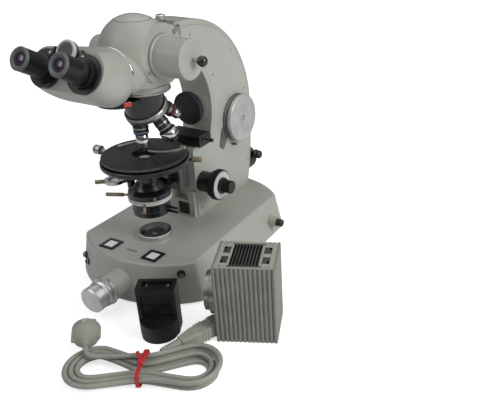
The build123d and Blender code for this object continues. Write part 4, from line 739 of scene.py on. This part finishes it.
# Head. Screws on the side plates, a dark joint line round the cap and black lines where the round ports meet
# the casting.
head_screws = bmesh.new()
add_screw(head_screws, (0.0382, 0.052, 0.377), (1, 0, 0), 0.0040, 0.0010, 1.2)
add_screw(head_screws, (0.0382, -0.009, 0.332), (1, 0, 0), 0.0026, 0.0008, 0.4)
add_screw(head_screws, (-0.0382, 0.052, 0.377), (-1, 0, 0), 0.0040, 0.0010, 0.3)
add_screw(head_screws, (-0.0382, -0.009, 0.360), (-1, 0, 0), 0.0026, 0.0008, 1.9)
for angle in (-1.2, -2.2, 0.1):
    out = Vector((cos(angle), sin(angle), 0))
    add_screw(head_screws, Vector((0, 0.013, 0.3125)) + out * 0.0382, out, 0.0013, 0.0003, angle)
drop("head_screws", head_screws, steel_screw, "stand")
joint_lines = bmesh.new()
seam_radius = sqrt(0.051 ** 2 - 0.044 ** 2)
add_turned(joint_lines, (0, 0.013, 0.398), (0, 0, 1), [(seam_radius - 0.0004, -0.0003), (seam_radius + 0.0001, -0.0003),
                                                        (seam_radius + 0.0001, 0.0003), (seam_radius - 0.0004, 0.0003)], 72)
add_turned(joint_lines, (0.038, 0.022, 0.349), (1, 0, 0), [(0.0304, 0.0001), (0.0309, 0.0002), (0.0309, 0.0)], 72)
add_turned(joint_lines, (0.085, 0.022, 0.349), (1, 0, 0), [(0.0279, 0.0), (0.02808, 0.0002), (0.0279, 0.0004)], 72)
drop("joint_lines", joint_lines, seam_black, "stand", True)

# Ball of the pull rod. A glossy black plastic ball over the rod's end.
rod_ball = bmesh.new()
bmesh.ops.create_uvsphere(rod_ball, u_segments=40, v_segments=24, radius=0.0076)
bmesh.ops.translate(rod_ball, verts=rod_ball.verts, vec=(0.1045, 0.022, 0.349))
drop("rod_ball", rod_ball, gloss_black, "beam_rod", True)

# Left port and binocular body. Screws show where the body is joined, and a bright edge
# ring sits where it meets the head.
edge_ring = bmesh.new()
add_turned(edge_ring, (0, -0.0385, 0.334), (0, -1, 0), [(0.0352, 0.0004), (0.0362, 0.0006), (0.0366, 0.0000),
                                                         (0.0366, -0.0016), (0.0352, -0.0020)], 80)
drop("edge_ring", edge_ring, chrome, "stand", True)


def eye_point(x, depth, rise=0.0):
    """A point in the eyepieces' frame: depth along the tubes from their ends, rise square to them."""
    return Vector((x, -0.154 + cos(pi / 6) * depth + 0.5 * rise, 0.378 - 0.5 * depth + cos(pi / 6) * rise))


eye_way = Vector((0, -cos(pi / 6), 0.5))
eye_rise = Vector((0, 0.5, cos(pi / 6)))
body_screws = bmesh.new()
for x, y, z in ((0.034, -0.058, 0.357), (-0.034, -0.058, 0.357), (0.0, -0.0505, 0.3706)):
    add_screw(body_screws, (x, y, z), (0.3 * (x > 0) - 0.3 * (x < 0), -0.45, 0.85), 0.0014, 0.0004, 0.8)
drop("body_screws", body_screws, steel_screw, "stand")

# Eyepieces. Black satin barrels with a grey ribbed end face; the lens set back in the eye hole is coated,
# which gives it a violet sheen.
carrier_black = finish("carrier_black", (0.008, 0.009, 0.010), (0.014, 0.015, 0.016), 0.28, 0.12, 40, 1400, 0.06)
dress(carrier_black, "left_carrier", "right_carrier")
coated = finish("coated_lens", (0.05, 0.02, 0.06), (0.03, 0.01, 0.05), 0.02, 0.01, 60, 500, 0.001, coat=1.0, coat_rough=0.01)
coated_shell = coated.node_tree.nodes["Principled BSDF"]
coated_shell.inputs["Specular Tint"].default_value = (0.8, 0.35, 0.85, 1)
coated_shell.inputs["Specular IOR Level"].default_value = 0.9
rim_grey = finish("eye_rim_grey", (0.16, 0.165, 0.165), (0.12, 0.12, 0.12), 0.42, 0.1, 80, 900, 0.03, metal=0.3)
for name, side in (("left", -1), ("right", 1)):
    eye_black = turned(name + "_eyepiece_black", (0.008, 0.009, 0.010), 0.28, eye_point(side * 0.0315, 0),
                       eye_way, rings=1400, grip=0)
    dress(eye_black, name + "_eyepiece")
    rim = bmesh.new()
    add_turned(rim, eye_point(side * 0.0315, 0.0), eye_way, [(0.0090, -0.0022), (0.0092, -0.0018), (0.0134, 0.0001),
               (0.0144, -0.0007), (0.01515, -0.0016), (0.01515, -0.0030), (0.0149, -0.0031)], 64)
    drop(name + "_eye_rim", rim, rim_grey, name + "_eyepiece", True)
    lens = bmesh.new()
    add_turned(lens, eye_point(side * 0.0315, 0.0), eye_way, [(0.0, -0.0018), (0.0022, -0.0019), (0.0045, -0.0023), (0.0058, -0.0029)], 48)
    drop(name + "_eye_lens", lens, coated, name + "_eyepiece", True)
    hole = bmesh.new()
    add_turned(hole, eye_point(side * 0.0315, 0.0), eye_way, [(0.0057, -0.0028), (0.0062, -0.0018), (0.0072, -0.0015), (0.0091, -0.0021)], 48)
    drop(name + "_eye_stop", hole, seam_black, name + "_eyepiece", True)
    bands = bmesh.new()
    for depth in (0.0265, 0.0290, 0.0315):
        add_turned(bands, eye_point(side * 0.0315, depth), eye_way, [(0.0150, -0.0006), (0.01535, -0.0004),
                                                                    (0.01535, 0.0004), (0.0150, 0.0006)], 64)
    drop(name + "_eye_bands", bands, eye_black, name + "_eyepiece", True)
    carrier_screws = bmesh.new()
    for along, rise in ((0.0268, 0.0205), (0.0395, -0.014), (0.0185, -0.004)):
        add_screw(carrier_screws, eye_point(side * along, 0.0397, rise), eye_way, 0.0019, 0.0012, along * 90)
    drop(name + "_carrier_screws", carrier_screws, steel_screw, name + "_carrier")

# Dial between the eyepieces. A grey-black disc with a bright white rim and fine marks.
dial_grey = turned("dial_grey", (0.085, 0.087, 0.088), 0.36, eye_point(0, 0.044, 0.023), eye_way, rings=1600, grip=64,
                   rim=0.0152, grip_depth=0.6)
dress(dial_grey, "pupil_dial")
dial_rim = bmesh.new()
add_turned(dial_rim, eye_point(0, 0.044, 0.023), eye_way, [(0.0122, 0.00805), (0.0124, 0.0084), (0.0144, 0.0083),
                                                           (0.0157, 0.0070), (0.0157, 0.0052), (0.0154, 0.0050)], 72)
drop("dial_rim", dial_rim, white_print_and_highlight, "pupil_dial", True)
dial_marks = bmesh.new()
for step in range(24):
    angle = 2 * pi * step / 24
    spot = eye_point(0, 0.044, 0.023) + eye_way * 0.0081 + (Vector((1, 0, 0)) * cos(angle) + eye_rise * sin(angle)) * 0.0107
    add_block(dial_marks, spot, eye_way, (0.0002, 0.0016, 0.0001), angle - pi / 2)
drop("dial_marks", dial_marks, white_print_and_highlight, "pupil_dial")

# Changer and nosepiece. Bright ring, toothed black wheel with a red mark beside it, glossy black housing; the turret
# has a silver knurled ring.
wheel_black = finish("wheel_black", (0.015, 0.015, 0.016), (0.03, 0.03, 0.03), 0.3, 0.1, 60, 1200, 0.03)
dress(wheel_black, "changer_wheel")
red_paint = finish("red_mark", (0.62, 0.035, 0.03), (0.5, 0.02, 0.02), 0.35, 0.1, 60, 900, 0.02, coat=0.3)
index_block = bmesh.new()
wheel_middle = Vector((-0.012, -0.022, 0.2934))
index_turn = radians(-28)
index_out = Vector((cos(index_turn), sin(index_turn), 0))
add_block(index_block, wheel_middle + index_out * 0.0338, index_out, (0.0110, 0.0064, 0.0014), 0, 0.0005)
drop("index_block", index_block, red_paint, "stand")
index_arm = bmesh.new()
add_block(index_arm, wheel_middle + index_out * 0.0220 + Vector((0, 0, 0.0024)), index_out, (0.0110, 0.0022, 0.0224),
          0, 0.0004)
drop("index_arm", index_arm, gloss_black, "stand")
tilt = radians(26)
turret_way = Vector((0, sin(tilt), -cos(tilt)))


def turret_point(distance):
    """The point of the turret's axis at a distance from the pivot."""
    return Vector((0, 0, 0.305)) + turret_way * distance


turret_black = turned("turret_black", (0.012, 0.012, 0.013), 0.24, (0, 0, 0.305), turret_way, rings=1200)
dress(turret_black, "turret")
scale_ring = bmesh.new()
add_turned(scale_ring, turret_point(0.036), turret_way, [(0.0300, -0.0018), (0.0318, -0.0004), (0.0325, 0.0006),
           (0.0325, 0.0068), (0.0318, 0.0078), (0.0310, 0.0084)], 96)
satin_steel = finish("satin_steel", (0.50, 0.50, 0.49), (0.40, 0.40, 0.39), 0.26, 0.12, 60, 1500, 0.03, metal=1.0)
drop("turret_ring", scale_ring, satin_steel, "nosepiece", True)
ring_ribs = bmesh.new()
ring_right = Vector((1, 0, 0))
ring_back = turret_way.cross(ring_right)
for step in range(100):
    angle = 2 * pi * step / 100
    out = ring_right * cos(angle) + ring_back * sin(angle)
    tooth = bmesh.ops.create_cube(ring_ribs, size=1)["verts"]
    bmesh.ops.scale(ring_ribs, verts=tooth, vec=(0.0008, 0.0009, 0.0058))
    turn = Matrix((out, turret_way.cross(out), turret_way)).transposed()
    bmesh.ops.rotate(ring_ribs, verts=tooth, cent=(0, 0, 0), matrix=turn)
    bmesh.ops.translate(ring_ribs, verts=tooth, vec=turret_point(0.0398) + out * 0.0326)
drop("turret_grip", ring_ribs, satin_steel, "nosepiece")

# Objectives. Black barrels with chrome lower ends, knurled bands, and a coloured ring each that tells the
# magnification.
objective_black = finish("objective_black", (0.008, 0.007, 0.006), (0.03, 0.028, 0.025), 0.3, 0.1, 60, 1500, 0.03)
dress(objective_black, "objectives")
barrel_shapes = (
    ((0.0092, 0.0695, 0.0905), (0.0112, 0.0580, 0.0600), (0.13, 0.30, 0.55)),
    ((0.0082, 0.0642, 0.0700), (0.0097, 0.0585, 0.0615), (0.60, 0.48, 0.05)),
    ((0.0087, 0.0745, 0.0835), (0.0102, 0.0600, 0.0640), (0.05, 0.32, 0.12)),
    ((0.0077, 0.0740, 0.0835), (0.0102, 0.0600, 0.0640), (0.55, 0.04, 0.03)),
    ((0.0132, 0.0750, 0.0862), (0.0107, 0.0600, 0.0630), (0.60, 0.60, 0.58)),
)
for place, (sleeve, grip, colour) in enumerate(barrel_shapes):
    way = Matrix.Rotation(2 * pi * place / 5, 3, turret_way) @ Vector((0, 0, -1))
    pivot = Vector((0, 0, 0.305))
    shell = bmesh.new()
    radius, low, high = sleeve
    add_turned(shell, pivot, way, [(radius - 0.0006, low - 0.0002), (radius, low + 0.0004), (radius, high - 0.0006),
                                   (radius - 0.0004, high), (radius - 0.0020, high + 0.0002)], 48)
    drop("objective_sleeve_" + str(place + 1), shell, chrome if place in (0, 1, 4) else satin_steel, "nosepiece", True)
    knurl = bmesh.new()
    radius, low, high = grip
    side_way = way.orthogonal().normalized()
    for step in range(40):
        angle = 2 * pi * step / 40
        out = Matrix.Rotation(angle, 3, way) @ side_way
        tooth = bmesh.ops.create_cube(knurl, size=1)["verts"]
        bmesh.ops.scale(knurl, verts=tooth, vec=(0.0006, 0.0010, high - low))
        turn = Matrix((out, way.cross(out), way)).transposed()
        bmesh.ops.rotate(knurl, verts=tooth, cent=(0, 0, 0), matrix=turn)
        bmesh.ops.translate(knurl, verts=tooth, vec=pivot + way * ((low + high) / 2) + out * radius)
    drop("objective_grip_" + str(place + 1), knurl, satin_steel, "nosepiece")
    ring = bmesh.new()
    middle = (high + sleeve[1]) / 2 + 0.0005
    add_turned(ring, pivot, way, [(radius - 0.0008, middle - 0.0006), (radius + 0.0002, middle - 0.0005),
                                  (radius + 0.0002, middle + 0.0005), (radius - 0.0008, middle + 0.0006)], 48)
    ring_paint = finish("objective_ring_" + str(place + 1), colour, tuple(c * 0.8 for c in colour), 0.4, 0.1, 80, 900, 0.02)
    drop("objective_ring_" + str(place + 1), ring, ring_paint, "nosepiece", True)
    glass_end = bmesh.new()
    end = (0.096, 0.076, 0.092, 0.089, 0.094)[place]
    add_turned(glass_end, pivot, way, [(0.0, end + 0.0001), (0.0016, end + 0.00005), (0.0020, end - 0.0002)], 24)
    drop("objective_lens_" + str(place + 1), glass_end, coated, "nosepiece", True)

# Stage. A black lacquered ring and a dark satin top plate, with white division lines on the rim, painted white
# highlights on the ring's edge, painted shade in the clip holes, pale spring clips and tan knobs.
stage_black = turned("stage_black", (0.006, 0.006, 0.006), 0.20, (0, 0, 0.2), (0, 0, 1), rings=900, coat=0.3)
stage_dark = turned("stage_dark", (0.016, 0.017, 0.017), 0.38, (0, 0, 0.2), (0, 0, 1), rings=1500)
dress(stage_black, "stage_ring")
dress(stage_dark, "stage_plate")
clip_steel = finish("clip_steel", (0.60, 0.58, 0.52), (0.50, 0.48, 0.42), 0.3, 0.12, 90, 1500, 0.03, metal=0.85)
dress(clip_steel, "left_clip", "right_clip")
division = bmesh.new()
for step in range(90):
    angle = radians(150 + 2.0 * step)
    long = 0.0022 if step % 5 == 0 else 0.0013
    out = Vector((cos(angle), sin(angle), 0))
    add_block(division, out * 0.06302 + Vector((0, 0, 0.2040 - long / 2)), out, (long, 0.0003, 0.0001))
drop("stage_divisions", division, white_print_and_highlight, "stage_table")
# Three short white arcs on the ring's edge: painted highlights where the glossy lacquer catches the light.
rim_highlights = bmesh.new()
for start_deg, sweep_deg in ((196, 42), (288, 34), (352, 24)):
    add_turned(rim_highlights, (0, 0, 0.2), (0, 0, 1), [(0.06552, -0.0034), (0.06570, -0.0031), (0.06552, -0.0028)], 20,
               radians(sweep_deg), radians(start_deg))
drop("stage_rim_highlights", rim_highlights, white_print_and_highlight, "stage_support", True)
top_rings = bmesh.new()
for radius in (0.0215, 0.0582):
    add_turned(top_rings, (0, 0, 0.205), (0, 0, 1), [(radius - 0.00025, 0.0), (radius, 0.00008), (radius + 0.00025, 0.0)], 96)
drop("stage_grooves", top_rings, seam_black, "stage_table", True)
# Flat black discs on the top plate: painted shade for the insides of the clip holes.
hole_shade_discs = bmesh.new()
for angle_deg in (20, 75, 130, 200, 255, 320):
    angle = radians(angle_deg)
    add_turned(hole_shade_discs, (0.051 * cos(angle), 0.051 * sin(angle), 0.205), (0, 0, 1),
               [(0.0, 0.00004), (0.0015, 0.00006), (0.0017, 0.0)], 20)
drop("clip_hole_shade", hole_shade_discs, seam_black, "stage_table", True)
tan_metal = finish("tan_metal", (0.30, 0.245, 0.165), (0.24, 0.19, 0.12), 0.35, 0.12, 90, 1500, 0.04, metal=0.6)
knob_covers = bmesh.new()
knob_out = Vector((cos(radians(27)), sin(radians(27)), 0))
add_turned(knob_covers, knob_out * 0.0705 + Vector((0, 0, 0.194)), knob_out,
           [(0.0, 0.0), (0.0039, 0.0), (0.0041, 0.0004), (0.0041, 0.0132), (0.0036, 0.0139), (0.0, 0.0140)], 32)
drop("right_centring_knob", knob_covers, tan_metal, "stage_support", True)
left_knob = bmesh.new()
add_turned(left_knob, (-0.0858, 0, 0.194), (-1, 0, 0), [(0.0, 0.0), (0.0066, 0.0), (0.0073, 0.0008), (0.0073, 0.0112),
                                                        (0.0064, 0.0124), (0.0, 0.0126)], 40)
drop("left_centring_knob", left_knob, satin_steel, "stage_support", True)
stem = bmesh.new()
add_turned(stem, (-0.064, 0, 0.194), (-1, 0, 0), [(0.0026, 0.0), (0.0027, 0.002), (0.0027, 0.0215)], 24)
drop("left_knob_stem", stem, satin_steel, "stage_support", True)

# Stage bracket and guide. Dark planed iron with visible machining, and a pale block
# below.
column_grey = finish("column_grey", (0.13, 0.13, 0.125), (0.18, 0.18, 0.17), 0.42, 0.12, 25, 1500, 0.05, metal=0.5)
dress(column_grey, "stage_bracket")
dress(enamel, "guide_block")
# A thin black plate on the guide block's face: painted shade for the dark inside of its opening.
painted_opening_shade = bmesh.new()
add_block(painted_opening_shade, (0.004, 0.0709, 0.081), (0, -1, 0), (0.018, 0.021, 0.0004), 0, 0.0002)
drop("guide_opening_shade", painted_opening_shade, seam_black, "stand")
guide_screws = bmesh.new()
for x in (-0.0215, 0.0215):
    for z in (0.072, 0.106):
        add_screw(guide_screws, (x, 0.0708, z), (0, -1, 0), 0.0021, 0.0006, z * 40)
drop("guide_screws", guide_screws, steel_screw, "stand")

# Condenser. Glossy black body with ring-shaped grooves, a white aperture ring with ticks and tan levers, and a
# frosted lens on top.
condenser_black = turned("condenser_black", (0.006, 0.007, 0.009), 0.15, (0, 0, 0.13), (0, 0, 1), rings=1000, coat=0.4)
dress(condenser_black, "condenser_body", "condenser_bracket")
ring_white = turned("ring_white", (0.66, 0.65, 0.62), 0.36, (0, 0, 0.13), (0, 0, 1), rings=900)
dress(ring_white, "aperture_ring")
lever_caps = bmesh.new()
left_out = Vector((-0.92, -0.39, 0)).normalized()
add_turned(lever_caps, left_out * 0.0418 + Vector((0, 0, 0.1345)), left_out,
           [(0.0, 0.0), (0.0028, 0.0), (0.0030, 0.0005), (0.0030, 0.0268), (0.0026, 0.0274), (0.0, 0.0275)], 28)
add_turned(lever_caps, left_out * 0.0325 + Vector((0, 0, 0.1345)), left_out, [(0.0018, 0.0), (0.0018, 0.0095)], 20)
front_out = (Vector((0.42, -0.91, 0)).normalized() * 0.008 + Vector((0, 0, -0.012))).normalized()
add_turned(lever_caps, Vector((0.42, -0.91, 0)) * 0.0312 + Vector((0, 0, 0.1345)), front_out,
           [(0.0, -0.0006), (0.0024, -0.0004), (0.0024, 0.0138), (0.0020, 0.0146), (0.0, 0.0147)], 24)
drop("aperture_levers", lever_caps, tan_metal, "aperture_ring", True)
aperture_ticks = bmesh.new()
for step in range(36):
    angle = radians(200 + 4 * step)
    long = 0.0028 if step % 3 == 0 else 0.0016
    out = Vector((cos(angle), sin(angle), 0))
    add_block(aperture_ticks, out * 0.03302 + Vector((0, 0, 0.1372 - long / 2)), out, (long, 0.0003, 0.0001))
drop("aperture_ticks", aperture_ticks, seam_black, "aperture_ring")
flange_screw = bmesh.new()
spot_out = Vector((0.80, -0.60, 0))
add_screw(flange_screw, spot_out * 0.0320 + Vector((0, 0, 0.1423)), spot_out, 0.0026, 0.0012, 0.5)
add_screw(flange_screw, Vector((-0.7, -0.71, 0)) * 0.0321 + Vector((0, 0, 0.1423)), (-0.7, -0.71, 0), 0.0020, 0.0008, 1.5)
drop("flange_screws", flange_screw, steel_screw, "condenser")
front_lens = bmesh.new()
add_turned(front_lens, (0, 0, 0.1989), (0, 0, 1), [(0.0, 0.0006), (0.0040, 0.0004), (0.0072, 0.0001)], 40)
drop("condenser_lens", front_lens, glass("condenser_glass", (0.75, 0.80, 0.84), clear=0.3), "condenser", True)
swing_glass = bmesh.new()
add_turned(swing_glass, (-0.055, -0.014, 0.1545), (0, 0, 1), [(0.0, -0.0018), (0.0050, -0.0012), (0.0089, 0.0)], 40)
add_turned(swing_glass, (-0.055, -0.014, 0.1545), (0, 0, 1), [(0.0, 0.0018), (0.0050, 0.0012), (0.0089, 0.0)], 40)
drop("swing_glass", swing_glass, glass("swing_lens_glass", (0.85, 0.90, 0.90), clear=0.9), "swing_lens", True)
swing_handle = bmesh.new()
handle_way = Vector((-0.013, -0.010, 0)).normalized()
add_turned(swing_handle, Vector((-0.0652, -0.0229, 0.1545)), handle_way,
           [(0.0, 0.0), (0.0030, 0.0), (0.0032, 0.0005), (0.0032, 0.0146), (0.0027, 0.0152), (0.0, 0.0153)], 28)
drop("swing_handle", swing_handle, tan_metal, "swing_lens", True)

# Lamp housing. Ribbed grey die casting with a pale top frame, a black slotted grille with bright screws, a dark
# chrome port flange and a domed cover on the right side.
lamp_turn = radians(23)
lamp_corner = Vector((0.188, -0.1135, 0))
lamp_wide_way = Vector((cos(lamp_turn), sin(lamp_turn), 0))
lamp_deep_way = Vector((-sin(lamp_turn), cos(lamp_turn), 0))


def lamp_point(wide, deep, height):
    """A point in the lamp housing's own frame."""
    return lamp_corner + lamp_wide_way * wide + lamp_deep_way * deep + Vector((0, 0, height))


rib_grey = finish("rib_grey", (0.285, 0.290, 0.255), (0.24, 0.245, 0.215), 0.42, 0.12, 30, 900, 0.06)
top_grey = finish("lamp_top_grey", (0.44, 0.43, 0.375), (0.39, 0.38, 0.33), 0.42, 0.1, 30, 900, 0.05)
dress(rib_grey, "lamp_housing")
dress(gloss_black, "lamp_grille")
dress(glass("bulb_glass", (0.85, 0.88, 0.90), 0.03, 0.6), "lamp_bulb")
flange_dark = turned("flange_chrome", (0.34, 0.34, 0.34), 0.18, lamp_point(0, 0.036, 0.062), -lamp_wide_way, metal=1.0,
                     rings=900)
dress(flange_dark, "lamp_flange")
top_frame = bmesh.new()
for wide, deep, size_wide, size_deep in ((0.0425, 0.0040, 0.0780, 0.0030), (0.0425, 0.0680, 0.0780, 0.0030),
                                         (0.0065, 0.0360, 0.0060, 0.0610), (0.0785, 0.0360, 0.0060, 0.0610)):
    add_block(top_frame, lamp_point(wide, deep, 0.1203), (0, 0, 1), (size_wide, size_deep, 0.0008), lamp_turn, 0.0003)
for wide in (0.0205, 0.0635):
    add_block(top_frame, lamp_point(wide, 0.0360, 0.1202), (0, 0, 1), (0.0030, 0.0530, 0.0008), lamp_turn, 0.0003)
for wide in (0.0133, 0.0715):
    for deep in (0.0110, 0.0360, 0.0610):
        add_block(top_frame, lamp_point(wide, deep, 0.1201), (0, 0, 1), (0.0125, 0.0085, 0.0006), lamp_turn, 0.0002)
drop("lamp_top_frame", top_frame, top_grey, "lamp_house")
lamp_screws = bmesh.new()
for wide, deep in ((0.0095, 0.0085), (0.0775, 0.0085), (0.0095, 0.0635), (0.0775, 0.0635)):
    add_screw(lamp_screws, lamp_point(wide, deep, 0.1205), (0, 0, 1), 0.0020, 0.0005, deep * 60)
drop("lamp_screws", lamp_screws, steel_screw, "lamp_house")
dark_floor = bmesh.new()
for k in range(9):
    add_block(dark_floor, lamp_point(0.0415 + 0.0044 * (k - 4), 0.036, 0.1140), (0, 0, 1), (0.0034, 0.051, 0.0006), lamp_turn)
drop("grille_shade", dark_floor, seam_black, "lamp_house")

# Film cassette. Satin black painted sheet with a recessed front, a dark film gate and two bright contacts at
# the top.
cassette_turn = radians(28)
cassette_corner = Vector((0.084, -0.148, 0))
cassette_wide_way = Vector((cos(cassette_turn), sin(cassette_turn), 0))
cassette_deep_way = Vector((-sin(cassette_turn), cos(cassette_turn), 0))


def cassette_point(wide, deep, height):
    """A point in the cassette's own frame."""
    return cassette_corner + cassette_wide_way * wide + cassette_deep_way * deep + Vector((0, 0, height))


cassette_black = finish("cassette_black", (0.007, 0.008, 0.007), (0.014, 0.015, 0.014), 0.28, 0.14, 35, 1300, 0.08)
dress(cassette_black, "film_cassette")
contacts = bmesh.new()
for wide in (0.0125, 0.0415):
    add_block(contacts, cassette_point(wide, 0.0165, 0.0705), (0, 0, 1), (0.0040, 0.0085, 0.0030), cassette_turn, 0.0008)
drop("cassette_contacts", contacts, bright_steel, "cassette")
gate = bmesh.new()
for high, tall in ((0.0625, 0.0014), (0.0480, 0.0014), (0.0315, 0.0014)):
    add_block(gate, cassette_point(0.0270, 0.0034, high), -cassette_deep_way, (0.0400, tall, 0.0012), 0, 0.0003)
drop("cassette_gate", gate, gloss_black, "cassette")

# Mains coupler and plug. Moulded ridges on the coupler's neck and on the plug's tail, a grip step on each, and
# bright earth contacts let into both sides of the round plug.
coupler_way = Vector((-0.37, -0.929, 0)).normalized()
coupler_front = Vector((0.1725, -0.1025, 0.012))
mouldings = bmesh.new()
for step in range(6):
    far = 0.0525 + 0.0042 * step
    radius = 0.0065 - (far - 0.050) * 0.0437
    add_turned(mouldings, coupler_front + coupler_way * far, coupler_way,
               [(radius - 0.0004, -0.0010), (radius + 0.0006, -0.0008), (radius + 0.0006, 0.0008),
                (radius - 0.0004, 0.0010)], 28)
for far, wide, high in ((0.012, 0.0252, 0.0194), (0.0165, 0.0246, 0.0192), (0.0210, 0.0240, 0.0190)):
    add_block(mouldings, coupler_front + coupler_way * far, coupler_way, (wide, high, 0.0018), 0, 0.0004)
plug_way = Vector((0.67, -0.742, 0)).normalized()
plug_side = Vector((-plug_way.y, plug_way.x, 0))
plug_front = Vector((0.0266, -0.1891, 0.019))
for step, radius in enumerate((0.0066, 0.0060, 0.0055)):
    add_turned(mouldings, plug_front + plug_way * (0.0282 + 0.0026 * step), plug_way,
               [(radius - 0.0006, -0.0008), (radius + 0.0004, -0.0006), (radius + 0.0004, 0.0006),
                (radius - 0.0006, 0.0008)], 28)
for side in (-1, 1):
    add_block(mouldings, plug_front + plug_way * 0.0165 + plug_side * (0.0090 * side), plug_way,
              (0.0060, 0.0200, 0.0110), pi / 2, 0.0012)
drop("lead_mouldings", mouldings, lead_plastic, "lamp_house")
earth_clips = bmesh.new()
for side in (-1, 1):
    add_block(earth_clips, plug_front + plug_way * 0.0040 + Vector((0, 0, 0.01895 * side)), plug_way,
              (0.0050, 0.0008, 0.0085), 0, 0.0002)
drop("earth_clips", earth_clips, bright_steel, "lamp_house")

# A last update of the view layer.
bpy.context.view_layer.update()
